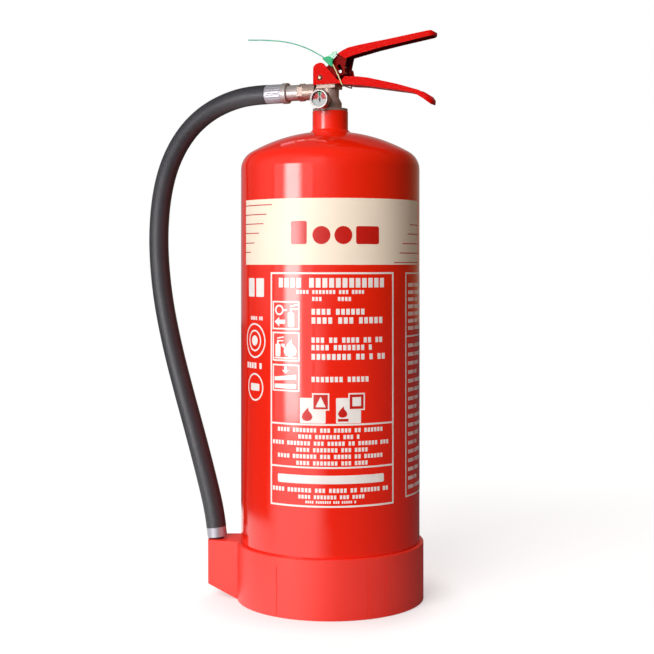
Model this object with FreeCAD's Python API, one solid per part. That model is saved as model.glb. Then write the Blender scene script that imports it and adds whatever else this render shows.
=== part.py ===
import FreeCAD, Part
import math
import os

# Stored-pressure foam extinguisher, 9 litres. Millimetres, +Z up.
# The origin is on the cylinder's axis, at floor level. The levers reach along +X, the
# outlet leaves along -X and the gauge faces -Y.

V = FreeCAD.Vector
UP = V(0, 0, 1)

# ---- clearances ----
running_gap = 0.3          # between pieces that rest on or pass one another
shaft_gap = 0.06           # radial, pin or shaft in its hole
seat_gap = 0.05            # radial, piece pressed or screwed into its seat

# ---- cylinder ----
body_radius = 90.0
body_wall = 1.5
shoulder_height = 430.0    # where the straight side ends
crown_radius = 160.0       # of both dished ends
knuckle_radius = 20.0
neck_radius = 18.0
neck_bore = 15.0
neck_rise = 20.25          # collar above the crown of the dome
neck_depth = 8.0           # how far the neck reaches inside the dome
weld_size = 2.6
foam_drop = 58.0           # liquid's surface below the shoulder
front_turn = 23.0          # degrees that the printed front and the boot sit round from the gauge

# ---- boot ----
boot_wall = 4.0
boot_height = 57.5
boot_floor = 3.0
boot_rim_chamfer = 0.8
boot_groove = 0.5          # mould lines on the outside
boot_groove_width = 1.2
boot_groove_stop = 9.5     # below the rim
groove_angles = (-33.0, 34.0, 22.0)
drain_radius = 6.0
drain_circle = 52.0
drain_count = 3
holder_reach = 29.2        # nozzle holder beyond the ring
holder_front_inner = -16.0  # its sides, in the boot's own axes
holder_front_outer = -6.0
holder_back = 26.0
holder_wall = 1.1
holder_corner = 3.0
holder_root_rise = 0.0     # height of the underside at the ring
holder_tip_rise = 14.0     # and at the outer end
nozzle_side = 5.6          # nozzle's place between the holder's sides

# ---- hanger at the back ----
hanger_drop = 58.0         # strap's middle below the shoulder
hanger_width = 34.0
hanger_length = 52.0
hanger_thickness = 2.5
hanger_standoff = 7.0
hanger_slot_width = 18.0
hanger_slot_length = 12.0
hanger_foot = 12.0

# ---- valve body ----
plug_length = 19.0
flange_inset = 0.3         # flange inside the neck's edge
flange_thickness = 2.6
skirt_radius = 11.7
skirt_height = 6.0
skirt_taper = 5.4
waist_radius = 8.9
waist_length = 5.0
head_flare = 4.0
head_thickness = 3.5
head_back = 11.0
head_front = 9.0
head_half_width = 10.0
chamber_radius = 6.5
seat_rise = 4.0            # valve seat above the neck
seat_land = 2.0
seat_bore = 4.0
gallery_radius = 4.4
port_radius = 1.2
neck_ring_section = 0.95
neck_ring_drop = 2.5

# ---- gland, stem, spring and dip tube ----
gland_across_flats = 13.0
gland_head = 1.2
gland_shank_radius = 5.6
gland_length = 2.8
gland_ring_section = 0.8
stem_radius = 2.2
stem_dome_radius = 3.0
stem_rise = 6.0            # dome above the valve's head
stem_lift = 1.9
poppet_radius = 5.7
poppet_thickness = 3.0
poppet_seal_thickness = 1.8
spring_radius = 4.2
spring_wire = 0.9
spring_turns = 4.0
spring_seat_height = 6.0
spring_seat_bore = 3.4
tube_radius = 7.0
tube_wall = 1.4
tube_bottom = 16.0
spigot_length = 12.0
collar_thickness = 2.0
strainer_radius = 9.0
strainer_height = 24.0
strainer_wall = 1.2
strainer_slots = 6
strainer_slot_width = 2.4

# ---- gauge ----
gauge_rise = 7.1           # gauge's centre above the flange
gauge_radius = 9.6
gauge_wall = 0.9
gauge_neck = 4.5           # hexagon between the boss and the case
gauge_depth = 7.5
gauge_boss_radius = 5.6
gauge_boss_reach = 18.0
gauge_spigot_radius = 3.2
gauge_spigot_length = 5.0
gauge_lens_thickness = 0.9
gauge_lens_inset = 0.5
gauge_dial_inset = 3.2
gauge_dial_thickness = 0.5
needle_length = 6.4
needle_tail = 2.4
needle_width = 0.9
needle_thickness = 0.4
needle_shaft_radius = 0.5
bourdon_radius = 5.4
bourdon_section = 0.9

# ---- sheet-metal levers ----
sheet = 2.0
handle_back = -14.8
back_web_height = 17.5
bend_radius = 3.2
handle_half_width = 12.2
handle_taper_start = 50.0  # grips are parallel this far, then taper to a rounded tip
handle_tip = 110.6
handle_tip_half_width = 9.0
handle_tip_round = 6.5
lever_half_width = 11.5
lever_taper_start = 55.0
lever_tip_end = 112.3
lever_tip_half_width = 8.0
lever_tip_round = 6.0
pivot_x = -6.2
pivot_rise = 6.8           # above the valve's head
pivot_radius = 2.0
rivet_head_radius = 2.7
rivet_head_height = 1.0
neck_ear_radius = 4.2
lever_travel = 15.0        # degrees, squeezed
lever_side_gap = 0.45
pad_length = 5.5
pad_height = 3.6

# ---- safety pin and tamper seal ----
pin_x = 15.7
pin_rise = 11.9
pin_radius = 1.6
pin_slot_gap = 0.35
pin_overhang = 1.65        # pin's end past the near ear
pin_eye_reach = 4.2        # eye's middle outside the far fin
pin_eye_radius = 2.3
pull_ring_radius = 10.0
pull_ring_wire = 0.9
pull_hole_radius = 1.4
strap_radius = 0.7
strap_gap = 0.8            # beside the fins
tail_radius = 0.6
lock_thickness = 2.6
lock_round = 0.6

# ---- outlet and hose ----
outlet_drop = 5.5          # outlet's axis below the head's top
outlet_radius = 8.2
outlet_reach = 27.5
outlet_bore = 2.6
outlet_counterbore = 5.0
outlet_counter_depth = 8.0
nut_across_flats = 15.8
nut_length = 6.0
tail_tube_radius = 8.1
tail_tube_length = 13.0
tail_collar_radius = 10.6
tail_collar_length = 5.2
ferrule_radius = 9.9
ferrule_length = 18.8
ferrule_wall = 1.2
hose_radius = 10.0
lower_ferrule_radius = 9.9
lower_ferrule_length = 10.4
nozzle_radius = 6.0
nozzle_tip_radius = 4.6
nozzle_bore = 2.6
nozzle_length = 40.0
nozzle_hole_gap = 0.5

# The hose leaves the upper ferrule along -X, swings out and down and ends above the holder.
# Heights are above the boot's rim, for a hose that rises by hose_rise.
hose_rise = 452.5
hose_upper = (              # beyond the ferrule, sideways, height
    (19.5, 0.0, 452.5),
    (43.0, -2.5, 447.3),
    (65.0, -7.5, 436.5),
    (83.3, -13.0, 419.9),
    (96.7, -19.0, 397.8),
    (105.3, -25.0, 371.3),
    (109.7, -30.0, 337.5),
)
hose_lower = (              # outside and beside the nozzle, in the boot's own axes, height
    (63.4, 33.7, 295.5),
    (58.6, 28.4, 246.0),
    (48.4, 22.1, 197.0),
    (35.4, 15.9, 149.0),
    (21.5, 9.8, 101.5),
    (8.9, 4.1, 55.5),
    (1.7, 0.8, 25.5),
    (-0.0, 0.0, 11.1),
)


# ---- small helpers ----
def block(x0, x1, y0, y1, z0, z1):
    return Part.makeBox(x1 - x0, y1 - y0, z1 - z0, V(x0, y0, z0))


def rod(radius, start, direction, length):
    return Part.makeCylinder(radius, length, start, direction)


def tube(outer, inner, start, direction, length):
    return rod(outer, start, direction, length).cut(rod(inner, start, direction, length))


def spin(points):
    """Solid of revolution about Z from (radius, height) points."""
    wire = Part.makePolygon([V(r, 0, z) for r, z in points] + [V(points[0][0], 0, points[0][1])])
    return Part.Face(wire).revolve(V(0, 0, 0), UP, 360)


def side_plate(points, y0, y1):
    """Plate with an outline in the XZ plane, from y0 to y1."""
    corners = [V(x, y0, z) for x, z in points]
    face = Part.Face(Part.makePolygon(corners + [corners[0]]))
    return face.extrude(V(0, y1 - y0, 0))


def hexagon(across_flats, start, direction, length):
    """Hexagonal prism that starts at a point and runs along a direction."""
    corner = across_flats / math.sqrt(3)
    ring = [V(corner * math.cos(math.radians(60 * i)), corner * math.sin(math.radians(60 * i)), 0)
            for i in range(7)]
    prism = Part.Face(Part.makePolygon(ring)).extrude(V(0, 0, length))
    prism.Placement = FreeCAD.Placement(start, FreeCAD.Rotation(UP, direction))
    return prism


def fuse(shapes):
    whole = shapes[0].fuse(shapes[1:]) if len(shapes) > 1 else shapes[0]
    return whole.removeSplitter()


def rounded_path(points):
    """Straight runs joined by tangent arcs, each as large as its two runs allow."""
    points = [V(*p) for p in points]
    edges = []
    radii = []
    start = points[0]
    for before, corner, after in zip(points, points[1:], points[2:]):
        back = before - corner
        ahead = after - corner
        turn = math.pi - back.getAngle(ahead)
        reach = 0.45 * min(back.Length, ahead.Length)
        radii.append(reach / math.tan(turn / 2))
        enter = corner + back.normalize() * reach
        leave = corner + ahead.normalize() * reach
        inward = (back + ahead).normalize()
        apex = radii[-1] / math.cos(turn / 2) - radii[-1]
        edges.append(Part.LineSegment(start, enter).toShape())
        edges.append(Part.Arc(enter, corner + inward * apex, leave).toShape())
        start = leave
    edges.append(Part.LineSegment(start, points[-1]).toShape())
    return Part.Wire(edges), radii


def cord(points, radius):
    """Round solid along a rounded path, with the path's length and radii."""
    path, radii = rounded_path(points)
    heading = V(*points[1]) - V(*points[0])
    section = Part.Wire(Part.makeCircle(radius, V(*points[0]), heading))
    sweep = Part.BRepOffsetAPI.MakePipeShell(path)
    sweep.add(section)
    sweep.build()
    sweep.makeSolid()
    return sweep.shape(), path.Length, radii


# ---- cylinder ----
def vessel(inset):
    """The cylinder's outside shape, moved inward by an inset."""
    side = body_radius - inset
    knuckle = knuckle_radius - inset
    crown = crown_radius - inset
    centre_r = body_radius - knuckle_radius
    centre_drop = math.sqrt((crown_radius - knuckle_radius) ** 2 - centre_r ** 2)
    slope = math.atan2(centre_drop, centre_r)
    top = shoulder_height - centre_drop
    low = base_tangent + centre_drop

    def knuckle_point(angle, sign, level):
        return V(centre_r + knuckle * math.cos(angle), 0, level + sign * knuckle * math.sin(angle))

    def crown_point(angle, sign, level):
        return V(crown * math.cos(angle), 0, level + sign * crown * math.sin(angle))

    half = (slope + math.pi / 2) / 2
    apex_top = V(0, 0, top + crown)
    apex_low = V(0, 0, low - crown)
    edges = [
        Part.Arc(apex_low, crown_point(half, -1, low), crown_point(slope, -1, low)).toShape(),
        Part.Arc(knuckle_point(slope, -1, base_tangent), knuckle_point(slope / 2, -1, base_tangent),
                 V(side, 0, base_tangent)).toShape(),
        Part.LineSegment(V(side, 0, base_tangent), V(side, 0, shoulder_height)).toShape(),
        Part.Arc(V(side, 0, shoulder_height), knuckle_point(slope / 2, 1, shoulder_height),
                 knuckle_point(slope, 1, shoulder_height)).toShape(),
        Part.Arc(crown_point(slope, 1, top), crown_point(half, 1, top), apex_top).toShape(),
        Part.LineSegment(apex_top, apex_low).toShape(),
    ]
    return Part.Face(Part.Wire(edges)).revolve(V(0, 0, 0), UP, 360)


dish_height = crown_radius - math.sqrt((crown_radius - knuckle_radius) ** 2
                                       - (body_radius - knuckle_radius) ** 2)
base_tangent = boot_floor + running_gap + dish_height
dome_top = shoulder_height + dish_height
neck_top = dome_top + neck_rise
foam_level = shoulder_height - foam_drop
neck_weld_height = dome_top - neck_radius ** 2 / (2 * crown_radius)
neck_bottom = neck_weld_height - neck_depth
front_axis = FreeCAD.Rotation(UP, front_turn)


def make_cylinder():
    shell = vessel(0).cut(vessel(body_wall))
    return shell.cut(rod(neck_radius + seat_gap, V(0, 0, neck_bottom), UP, dome_top))


def make_neck():
    bead_edge = neck_radius + weld_size
    edge_height = dome_top - bead_edge ** 2 / (2 * crown_radius)
    bead = spin(((neck_radius - seat_gap, neck_weld_height + seat_gap),
                 (bead_edge, edge_height + seat_gap),
                 (neck_radius, neck_weld_height + weld_size),
                 (neck_radius - seat_gap, neck_weld_height + weld_size)))
    collar = tube(neck_radius, neck_bore, V(0, 0, neck_bottom), UP, neck_top - neck_bottom)
    return fuse([collar, bead])


def make_foam():
    charge = vessel(body_wall + running_gap)
    charge = charge.cut(block(-body_radius, body_radius, -body_radius, body_radius,
                              foam_level, dome_top))
    wet = rod(strainer_radius + running_gap, V(0, 0, tube_bottom - strainer_wall - running_gap), UP,
              strainer_height + strainer_wall + 2 * running_gap)
    stem = rod(tube_radius + running_gap, V(0, 0, tube_bottom), UP, foam_level)
    return charge.cut(wet).cut(stem)


# ---- boot ----
boot_radius = body_radius + boot_wall
holder_outer = -boot_radius - holder_reach
nozzle_out = holder_reach - holder_wall - nozzle_hole_gap - nozzle_radius


def make_boot():
    ring = rod(boot_radius, V(0, 0, 0), UP, boot_height)
    root = -math.sqrt(boot_radius ** 2 - holder_back ** 2) + boot_radius - body_radius
    corners = [V(root, holder_front_inner, 0), V(holder_outer, holder_front_outer, 0),
               V(holder_outer, holder_back, 0), V(root, holder_back, 0)]
    lobe = Part.Face(Part.makePolygon(corners + [corners[0]])).extrude(V(0, 0, boot_height))
    outer_edges = [e for e in lobe.Edges if abs(e.Vertexes[0].X - holder_outer) < seat_gap
                   and abs(e.Vertexes[-1].X - holder_outer) < seat_gap
                   and abs(e.Vertexes[0].Z - e.Vertexes[-1].Z) > seat_gap]
    lobe = lobe.makeFillet(holder_corner, outer_edges)
    wedge = side_plate(((root, holder_root_rise - boot_floor), (holder_outer, holder_tip_rise),
                        (2 * holder_outer, holder_tip_rise), (2 * holder_outer, -boot_height),
                        (root, -boot_height)), -boot_radius, boot_radius)
    solid = fuse([ring, lobe.cut(wedge)])
    rim = spin(((boot_radius - boot_rim_chamfer, boot_height), (2 * boot_radius, boot_height),
                (2 * boot_radius, boot_height - boot_rim_chamfer),
                (boot_radius, boot_height - boot_rim_chamfer)))
    rim = rim.cut(block(2 * holder_outer, -boot_radius / 2, holder_front_inner, holder_back,
                        0, boot_height))
    solid = solid.cut(rim)
    solid = solid.cut(rod(body_radius + running_gap, V(0, 0, boot_floor), UP, boot_height))
    for i in range(drain_count):
        angle = math.radians(360 * (i + 0.5) / drain_count)
        centre = V(drain_circle * math.cos(angle), drain_circle * math.sin(angle), -boot_floor)
        solid = solid.cut(rod(drain_radius, centre, UP, 3 * boot_floor))
    for angle in groove_angles:
        groove = block(-boot_groove_width / 2, boot_groove_width / 2, -boot_radius - boot_groove,
                       -boot_radius + boot_groove, -boot_floor,
                       boot_height - boot_groove_stop)
        groove.rotate(V(0, 0, 0), UP, angle)
        solid = solid.cut(groove)
    solid.rotate(V(0, 0, 0), UP, front_turn)
    return solid.cut(nozzle_shape(nozzle_hole_gap))


def make_hanger():
    """Bent strap welded to the back of the cylinder, with a slot for a wall hook."""
    hanger_height = shoulder_height - hanger_drop
    gap = body_radius + hanger_standoff
    foot_low = hanger_height - hanger_length / 2
    foot_high = hanger_height + hanger_length / 2
    bridge_low = foot_low + hanger_foot
    bridge_high = foot_high - hanger_foot
    outline = ((body_radius, foot_low), (body_radius + hanger_thickness, foot_low),
               (gap + hanger_thickness, bridge_low), (gap + hanger_thickness, bridge_high),
               (body_radius + hanger_thickness, foot_high), (body_radius, foot_high),
               (gap, bridge_high - hanger_thickness / 2), (gap, bridge_low + hanger_thickness / 2))
    half = hanger_width / 2
    corners = [V(-half, y, z) for y, z in outline]
    strap = Part.Face(Part.makePolygon(corners + [corners[0]])).extrude(V(hanger_width, 0, 0))
    slot = block(-hanger_slot_width / 2, hanger_slot_width / 2, gap - hanger_standoff,
                 gap + 2 * hanger_thickness, hanger_height - hanger_slot_length / 2,
                 hanger_height + hanger_slot_length / 2)
    strap = strap.cut(slot).cut(rod(body_radius, V(0, 0, 0), UP, shoulder_height))
    strap.rotate(V(0, 0, 0), UP, front_turn)
    return strap


# ---- valve ----
plug_radius = neck_bore - running_gap
plug_bottom = neck_top - plug_length
flange_radius = neck_radius - flange_inset
flange_top = neck_top + flange_thickness
waist_low = flange_top + skirt_height + skirt_taper
waist_high = waist_low + waist_length
head_low = waist_high + head_flare
head_top = head_low + head_thickness
seat_height = neck_top + seat_rise
port_offset = (chamber_radius + skirt_radius) / 2
neck_ring_height = neck_top - neck_ring_drop
spring_seat_top = plug_bottom + spring_seat_height
stem_top = head_top + stem_rise
gauge_height = flange_top + gauge_rise
outlet_height = head_top - outlet_drop
pivot_z = head_top + pivot_rise
pin_z = head_top + pin_rise
web_top = head_top + sheet
handle_inside = handle_half_width - sheet
neck_outside = handle_inside - lever_side_gap
neck_inside = neck_outside - sheet
pad_bottom = stem_top + running_gap


def make_valve_body():
    body = spin(((0, plug_bottom), (plug_radius, plug_bottom), (plug_radius, neck_top),
                 (flange_radius, neck_top), (flange_radius, flange_top),
                 (skirt_radius, flange_top), (skirt_radius, flange_top + skirt_height),
                 (waist_radius, waist_low), (waist_radius, waist_high),
                 (head_front, head_low), (head_front, head_top), (0, head_top)))
    plate = block(-head_back, head_front, -head_half_width, head_half_width, head_low, head_top)
    # flush with the head under the handle's floor, full size once past its back
    stub = rod(head_top - outlet_height, V(0, 0, outlet_height), V(-1, 0, 0), outlet_reach)
    boss_start = running_gap - handle_back
    outlet = rod(outlet_radius, V(-boss_start, 0, outlet_height), V(-1, 0, 0),
                 outlet_reach - boss_start)
    gauge_boss = rod(gauge_boss_radius, V(0, 0, gauge_height), V(0, -1, 0), gauge_boss_reach)
    body = fuse([body, plate, stub, outlet, gauge_boss])
    body = body.cut(rod(chamber_radius, V(0, 0, plug_bottom), UP, seat_height - plug_bottom))
    body = body.cut(rod(seat_bore, V(0, 0, seat_height), UP, seat_land))
    gallery_low = seat_height + seat_land
    body = body.cut(rod(gallery_radius, V(0, 0, gallery_low), UP, head_top - gallery_low))
    body = body.cut(rod(gland_shank_radius + seat_gap, V(0, 0, head_top - gland_length), UP,
                        gland_length))
    body = body.cut(rod(outlet_bore, V(0, 0, outlet_height), V(-1, 0, 0), outlet_reach))
    counter_start = V(-outlet_reach + outlet_counter_depth, 0, outlet_height)
    body = body.cut(rod(outlet_counterbore, counter_start, V(-1, 0, 0), outlet_counter_depth))
    body = body.cut(rod(port_radius, V(0, -port_offset, plug_bottom), UP,
                        gauge_height - plug_bottom))
    body = body.cut(rod(port_radius, V(0, -port_offset, gauge_height), V(0, -1, 0),
                        gauge_boss_reach - port_offset))
    body = body.cut(rod(gauge_spigot_radius + seat_gap,
                        V(0, -gauge_boss_reach + gauge_spigot_length, gauge_height),
                        V(0, -1, 0), gauge_spigot_length))
    groove_half = neck_ring_section + seat_gap
    groove_floor = neck_bore - 2 * neck_ring_section - 2 * seat_gap
    groove = tube(plug_radius + running_gap, groove_floor,
                  V(0, 0, neck_ring_height - groove_half), UP, 2 * groove_half)
    return body.cut(groove)


def make_neck_o_ring():
    ring_radius = neck_bore - neck_ring_section - seat_gap
    return Part.makeTorus(ring_radius, neck_ring_section, V(0, 0, neck_ring_height), UP)


def make_gland():
    head = hexagon(gland_across_flats, V(0, 0, web_top), UP, gland_head)
    shank = rod(gland_shank_radius, V(0, 0, head_top - gland_length), UP, web_top - head_top
                + gland_length)
    bore = rod(stem_dome_radius + shaft_gap, V(0, 0, head_top - gland_length), UP, stem_top)
    ring_room = rod(stem_dome_radius + 2 * gland_ring_section, gland_ring_base(), UP,
                    2 * gland_ring_section + 2 * seat_gap)
    return fuse([head, shank]).cut(bore).cut(ring_room)


def gland_ring_base():
    return V(0, 0, head_top - gland_ring_section)


def make_gland_o_ring():
    centre = gland_ring_base() + V(0, 0, gland_ring_section + seat_gap)
    return Part.makeTorus(stem_dome_radius + gland_ring_section + seat_gap,
                          gland_ring_section - seat_gap, centre, UP)


seal_top = seat_height - running_gap
poppet_top = seal_top - poppet_seal_thickness
poppet_bottom = poppet_top - poppet_thickness
slide_bottom = head_top - gland_length - 2 * stem_lift


def make_stem():
    """Push rod with a domed head, a guided upper shank and the poppet at its foot."""
    dome = stem_dome_radius
    pieces = [
        rod(poppet_radius, V(0, 0, poppet_bottom), UP, poppet_thickness),
        rod(stem_radius, V(0, 0, poppet_bottom), UP, slide_bottom - poppet_bottom),
        rod(dome, V(0, 0, slide_bottom), UP, stem_top - dome - slide_bottom),
        Part.makeSphere(dome, V(0, 0, stem_top - dome)),
    ]
    return fuse(pieces)


def make_poppet_seal():
    return tube(poppet_radius, stem_radius + seat_gap, V(0, 0, poppet_top), UP,
                poppet_seal_thickness)


def make_spring():
    low = spring_seat_top + spring_wire / 2 + running_gap
    high = poppet_bottom - spring_wire / 2 - running_gap
    helix = Part.makeHelix((high - low) / spring_turns, high - low, spring_radius)
    helix.translate(V(0, 0, low))
    start = V(spring_radius, 0, low)
    section = Part.Wire(Part.makeCircle(spring_wire / 2, start, V(0, 1, 0)))
    sweep = Part.BRepOffsetAPI.MakePipeShell(Part.Wire(helix))
    sweep.setFrenetMode(True)
    sweep.add(section)
    sweep.build()
    sweep.makeSolid()
    return sweep.shape()


def make_spring_seat():
    """Screwed ring that holds the spring up and carries the dip tube on its spigot."""
    collar_low = plug_bottom - collar_thickness - running_gap
    spigot_low = collar_low - spigot_length
    spigot_radius = tube_radius - tube_wall - seat_gap
    pieces = [
        rod(chamber_radius - seat_gap, V(0, 0, plug_bottom), UP, spring_seat_top - plug_bottom),
        rod(tube_radius, V(0, 0, collar_low), UP, collar_thickness),
        rod(chamber_radius - seat_gap, V(0, 0, collar_low), UP, collar_thickness + running_gap),
        rod(spigot_radius, V(0, 0, spigot_low), UP, spigot_length),
    ]
    return fuse(pieces).cut(rod(spring_seat_bore, V(0, 0, spigot_low), UP,
                                spring_seat_top - spigot_low))


def make_dip_tube():
    top = plug_bottom - collar_thickness - running_gap
    return tube(tube_radius, tube_radius - tube_wall, V(0, 0, tube_bottom), UP, top - tube_bottom)


def make_strainer():
    """Slotted cap over the foot of the dip tube."""
    cap = rod(strainer_radius, V(0, 0, tube_bottom - strainer_wall), UP,
              strainer_height + strainer_wall)
    inside = rod(strainer_radius - strainer_wall, V(0, 0, tube_bottom), UP,
                 strainer_height - strainer_wall)
    socket = rod(tube_radius + seat_gap, V(0, 0, tube_bottom), UP, strainer_height)
    cap = cap.cut(inside).cut(socket)
    slot_low = tube_bottom + 2 * strainer_wall
    slot_high = tube_bottom + strainer_height - 3 * strainer_wall
    for i in range(strainer_slots):
        slot = block(strainer_radius - 2 * strainer_wall, strainer_radius + strainer_wall,
                     -strainer_slot_width / 2, strainer_slot_width / 2, slot_low, slot_high)
        slot.rotate(V(0, 0, 0), UP, 360 * i / strainer_slots)
        cap = cap.cut(slot)
    return cap


# ---- gauge: everything is along -Y from the valve ----
FORWARD = V(0, -1, 0)
gauge_back = gauge_boss_reach + gauge_neck
gauge_face = gauge_back + gauge_depth
dial_y = gauge_face - gauge_dial_inset


def gauge_point(distance):
    return V(0, -distance, gauge_height)


def make_gauge_case():
    hex_flat = 2 * gauge_boss_radius
    pieces = [
        rod(gauge_radius, gauge_point(gauge_back), FORWARD, gauge_depth),
        hexagon(hex_flat, gauge_point(gauge_boss_reach), FORWARD, gauge_back - gauge_boss_reach),
        rod(gauge_spigot_radius, gauge_point(gauge_boss_reach - gauge_spigot_length), FORWARD,
            gauge_spigot_length),
    ]
    case = fuse(pieces)
    case = case.makeFillet(gauge_wall / 2, [e for e in case.Edges
                           if abs(e.BoundBox.YMin + gauge_face) < seat_gap
                           and abs(e.BoundBox.YMax + gauge_face) < seat_gap])
    case = case.cut(rod(gauge_radius - gauge_wall, gauge_point(gauge_back + gauge_wall), FORWARD,
                        gauge_depth))
    bezel = tube(gauge_radius - gauge_wall / 2, gauge_radius - 2 * gauge_wall,
                 gauge_point(gauge_face - gauge_lens_inset), FORWARD, gauge_lens_inset / 2)
    case = fuse([case, bezel])
    bore_start = gauge_point(gauge_boss_reach - gauge_spigot_length)
    return case.cut(rod(port_radius, bore_start, FORWARD, gauge_back + gauge_wall
                        - gauge_boss_reach + gauge_spigot_length))


def make_gauge_dial():
    plate = rod(gauge_radius - gauge_wall - seat_gap, gauge_point(dial_y - gauge_dial_thickness),
                FORWARD, gauge_dial_thickness)
    return plate.cut(rod(needle_shaft_radius + shaft_gap, gauge_point(gauge_back), FORWARD,
                         gauge_depth))


def make_gauge_lens():
    front = gauge_face - gauge_lens_inset - seat_gap
    return rod(gauge_radius - gauge_wall - seat_gap, gauge_point(front - gauge_lens_thickness),
               FORWARD, gauge_lens_thickness)


def make_gauge_needle():
    """Pointer that stands straight up when the cylinder is charged."""
    face = -(dial_y + running_gap)
    blade = side_plate(((-needle_width / 2, gauge_height - needle_tail),
                        (needle_width / 2, gauge_height - needle_tail),
                        (needle_width / 8, gauge_height + needle_length),
                        (-needle_width / 8, gauge_height + needle_length)),
                       face - needle_thickness, face)
    hub = rod(2 * needle_shaft_radius, gauge_point(dial_y + running_gap), FORWARD, needle_thickness)
    back_end = gauge_back + gauge_wall + 2 * bourdon_section + 2 * running_gap
    shaft = rod(needle_shaft_radius, gauge_point(back_end), FORWARD,
                dial_y + running_gap - back_end)
    return fuse([blade, hub, shaft])


def make_bourdon():
    """Curved pressure tube behind the dial, on a foot over the spigot's bore."""
    middle = gauge_back + gauge_wall + running_gap + bourdon_section
    arc = Part.makeTorus(bourdon_radius, bourdon_section, V(0, 0, 0), UP, -180, 180, 270)
    arc.Placement = FreeCAD.Placement(gauge_point(middle), FreeCAD.Rotation(UP, FORWARD))
    foot = block(0, bourdon_radius, -middle - bourdon_section, -middle + bourdon_section
                 + running_gap, gauge_height - bourdon_section, gauge_height + bourdon_section)
    return fuse([arc, foot]).cut(rod(port_radius / 2, gauge_point(gauge_back), FORWARD,
                                     gauge_wall + running_gap + bourdon_section))


# ---- levers ----
handle_under = ((16.0, 0.0), (22.0, -1.4), (38.0, -3.0), (58.9, -6.6), (83.3, -11.0),
                (93.0, -13.4), (103.2, -20.0), (109.0, -24.6))
handle_rim = ((handle_tip, -21.2), (109.6, -19.6), (106.2, -16.0), (97.0, -10.3), (75.7, -3.6),
              (45.3, 4.1), (34.7, 5.8), (20.3, 6.7), (17.6, 3.3), (13.2, 3.3))
near_fin = ((9.1, 7.6), (-2.9, 21.1), (-4.4, 21.7), (-6.6, 21.9), (-10.5, 20.8), (-13.0, 18.9),
            (-14.4, 16.2), (-14.8, 13.0))
far_fin = ((21.5, 10.0), (20.4, 15.0), (17.0, 17.8), (-2.9, 21.1), (-4.4, 21.7), (-6.6, 21.9),
           (-10.5, 20.8), (-13.0, 18.9), (-14.4, 16.2), (-14.8, 13.0))


def raised(points):
    """Outline points given above the valve head, as places in space."""
    return [(x, head_top + z) for x, z in points]


def grip_blank(inset, root, taper_start, half_width, end, tip_round):
    """A grip as seen from above, moved in by an inset: parallel, then tapered, tip rounded."""
    corners = [V(2 * handle_back, -root + inset, 0), V(taper_start, -root + inset, 0),
               V(end - inset, -half_width + inset, 0), V(end - inset, half_width - inset, 0),
               V(taper_start, root - inset, 0), V(2 * handle_back, root - inset, 0)]
    blank = Part.Face(Part.makePolygon(corners + [corners[0]])).extrude(V(0, 0, 2 * head_top))
    return blank.makeFillet(tip_round - inset, [e for e in blank.Edges
                                                if e.BoundBox.XMin > end - inset - seat_gap
                                                and e.BoundBox.ZLength > head_top])


def handle_blank(inset):
    return grip_blank(inset, handle_half_width, handle_taper_start, handle_tip_half_width,
                      handle_tip, handle_tip_round)


def lever_blank(inset):
    return grip_blank(inset, lever_half_width, lever_taper_start, lever_tip_half_width,
                      lever_tip_end, lever_tip_round)


def make_carry_handle():
    """Folded channel: floor on the valve head, two tall fins, a back web and a long grip."""
    bottom = [(handle_back, head_top)] + raised(handle_under)
    near = bottom + raised(handle_rim) + raised(near_fin)
    far_rim = handle_rim[:-2]
    far = bottom + raised(far_rim) + raised(far_fin)
    near_plate = side_plate(near, -handle_half_width, 0)
    far_plate = side_plate(far, 0, handle_half_width)
    inner_floor = [(x, z + sheet) for x, z in bottom[1:]]
    tip_x, tip_z = inner_floor[-1]
    hollow = side_plate([(handle_back + sheet, web_top)] + inner_floor
                        + [(2 * tip_x, tip_z - 2 * sheet), (2 * tip_x, pivot_z + pull_ring_radius * 3),
                           (handle_back + sheet, pivot_z + pull_ring_radius * 3)],
                        -handle_inside, handle_inside).common(handle_blank(sheet))
    shape = fuse([near_plate, far_plate]).common(handle_blank(0))
    upright = [e for e in shape.Edges if e.BoundBox.XMax < handle_back + seat_gap
               and e.BoundBox.ZLength > sheet]
    shape = shape.makeFillet(bend_radius, upright) if upright else shape
    shape = shape.cut(hollow)
    shape = shape.cut(block(2 * handle_back, handle_back + 2 * sheet, -handle_inside,
                            handle_inside, head_top + back_web_height, 2 * head_top))
    shape = shape.cut(rod(gland_shank_radius + running_gap, V(0, 0, head_top - sheet), UP,
                          3 * sheet))
    shape = shape.cut(rod(pivot_radius + shaft_gap, V(pivot_x, -2 * handle_half_width, pivot_z),
                          V(0, 1, 0), 4 * handle_half_width))
    return shape.cut(rod(pin_radius + pin_slot_gap, V(pin_x, 0, pin_z), V(0, 1, 0),
                         2 * handle_half_width))


def make_lever_pivot():
    reach = handle_half_width + shaft_gap
    shaft = rod(pivot_radius, V(pivot_x, -reach, pivot_z), V(0, 1, 0), 2 * reach)
    heads = [Part.makeCone(rivet_head_radius, rivet_head_radius / 2, rivet_head_height,
                           V(pivot_x, side * reach, pivot_z), V(0, side, 0))
             for side in (-1, 1)]
    return fuse([shaft] + heads)


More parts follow.
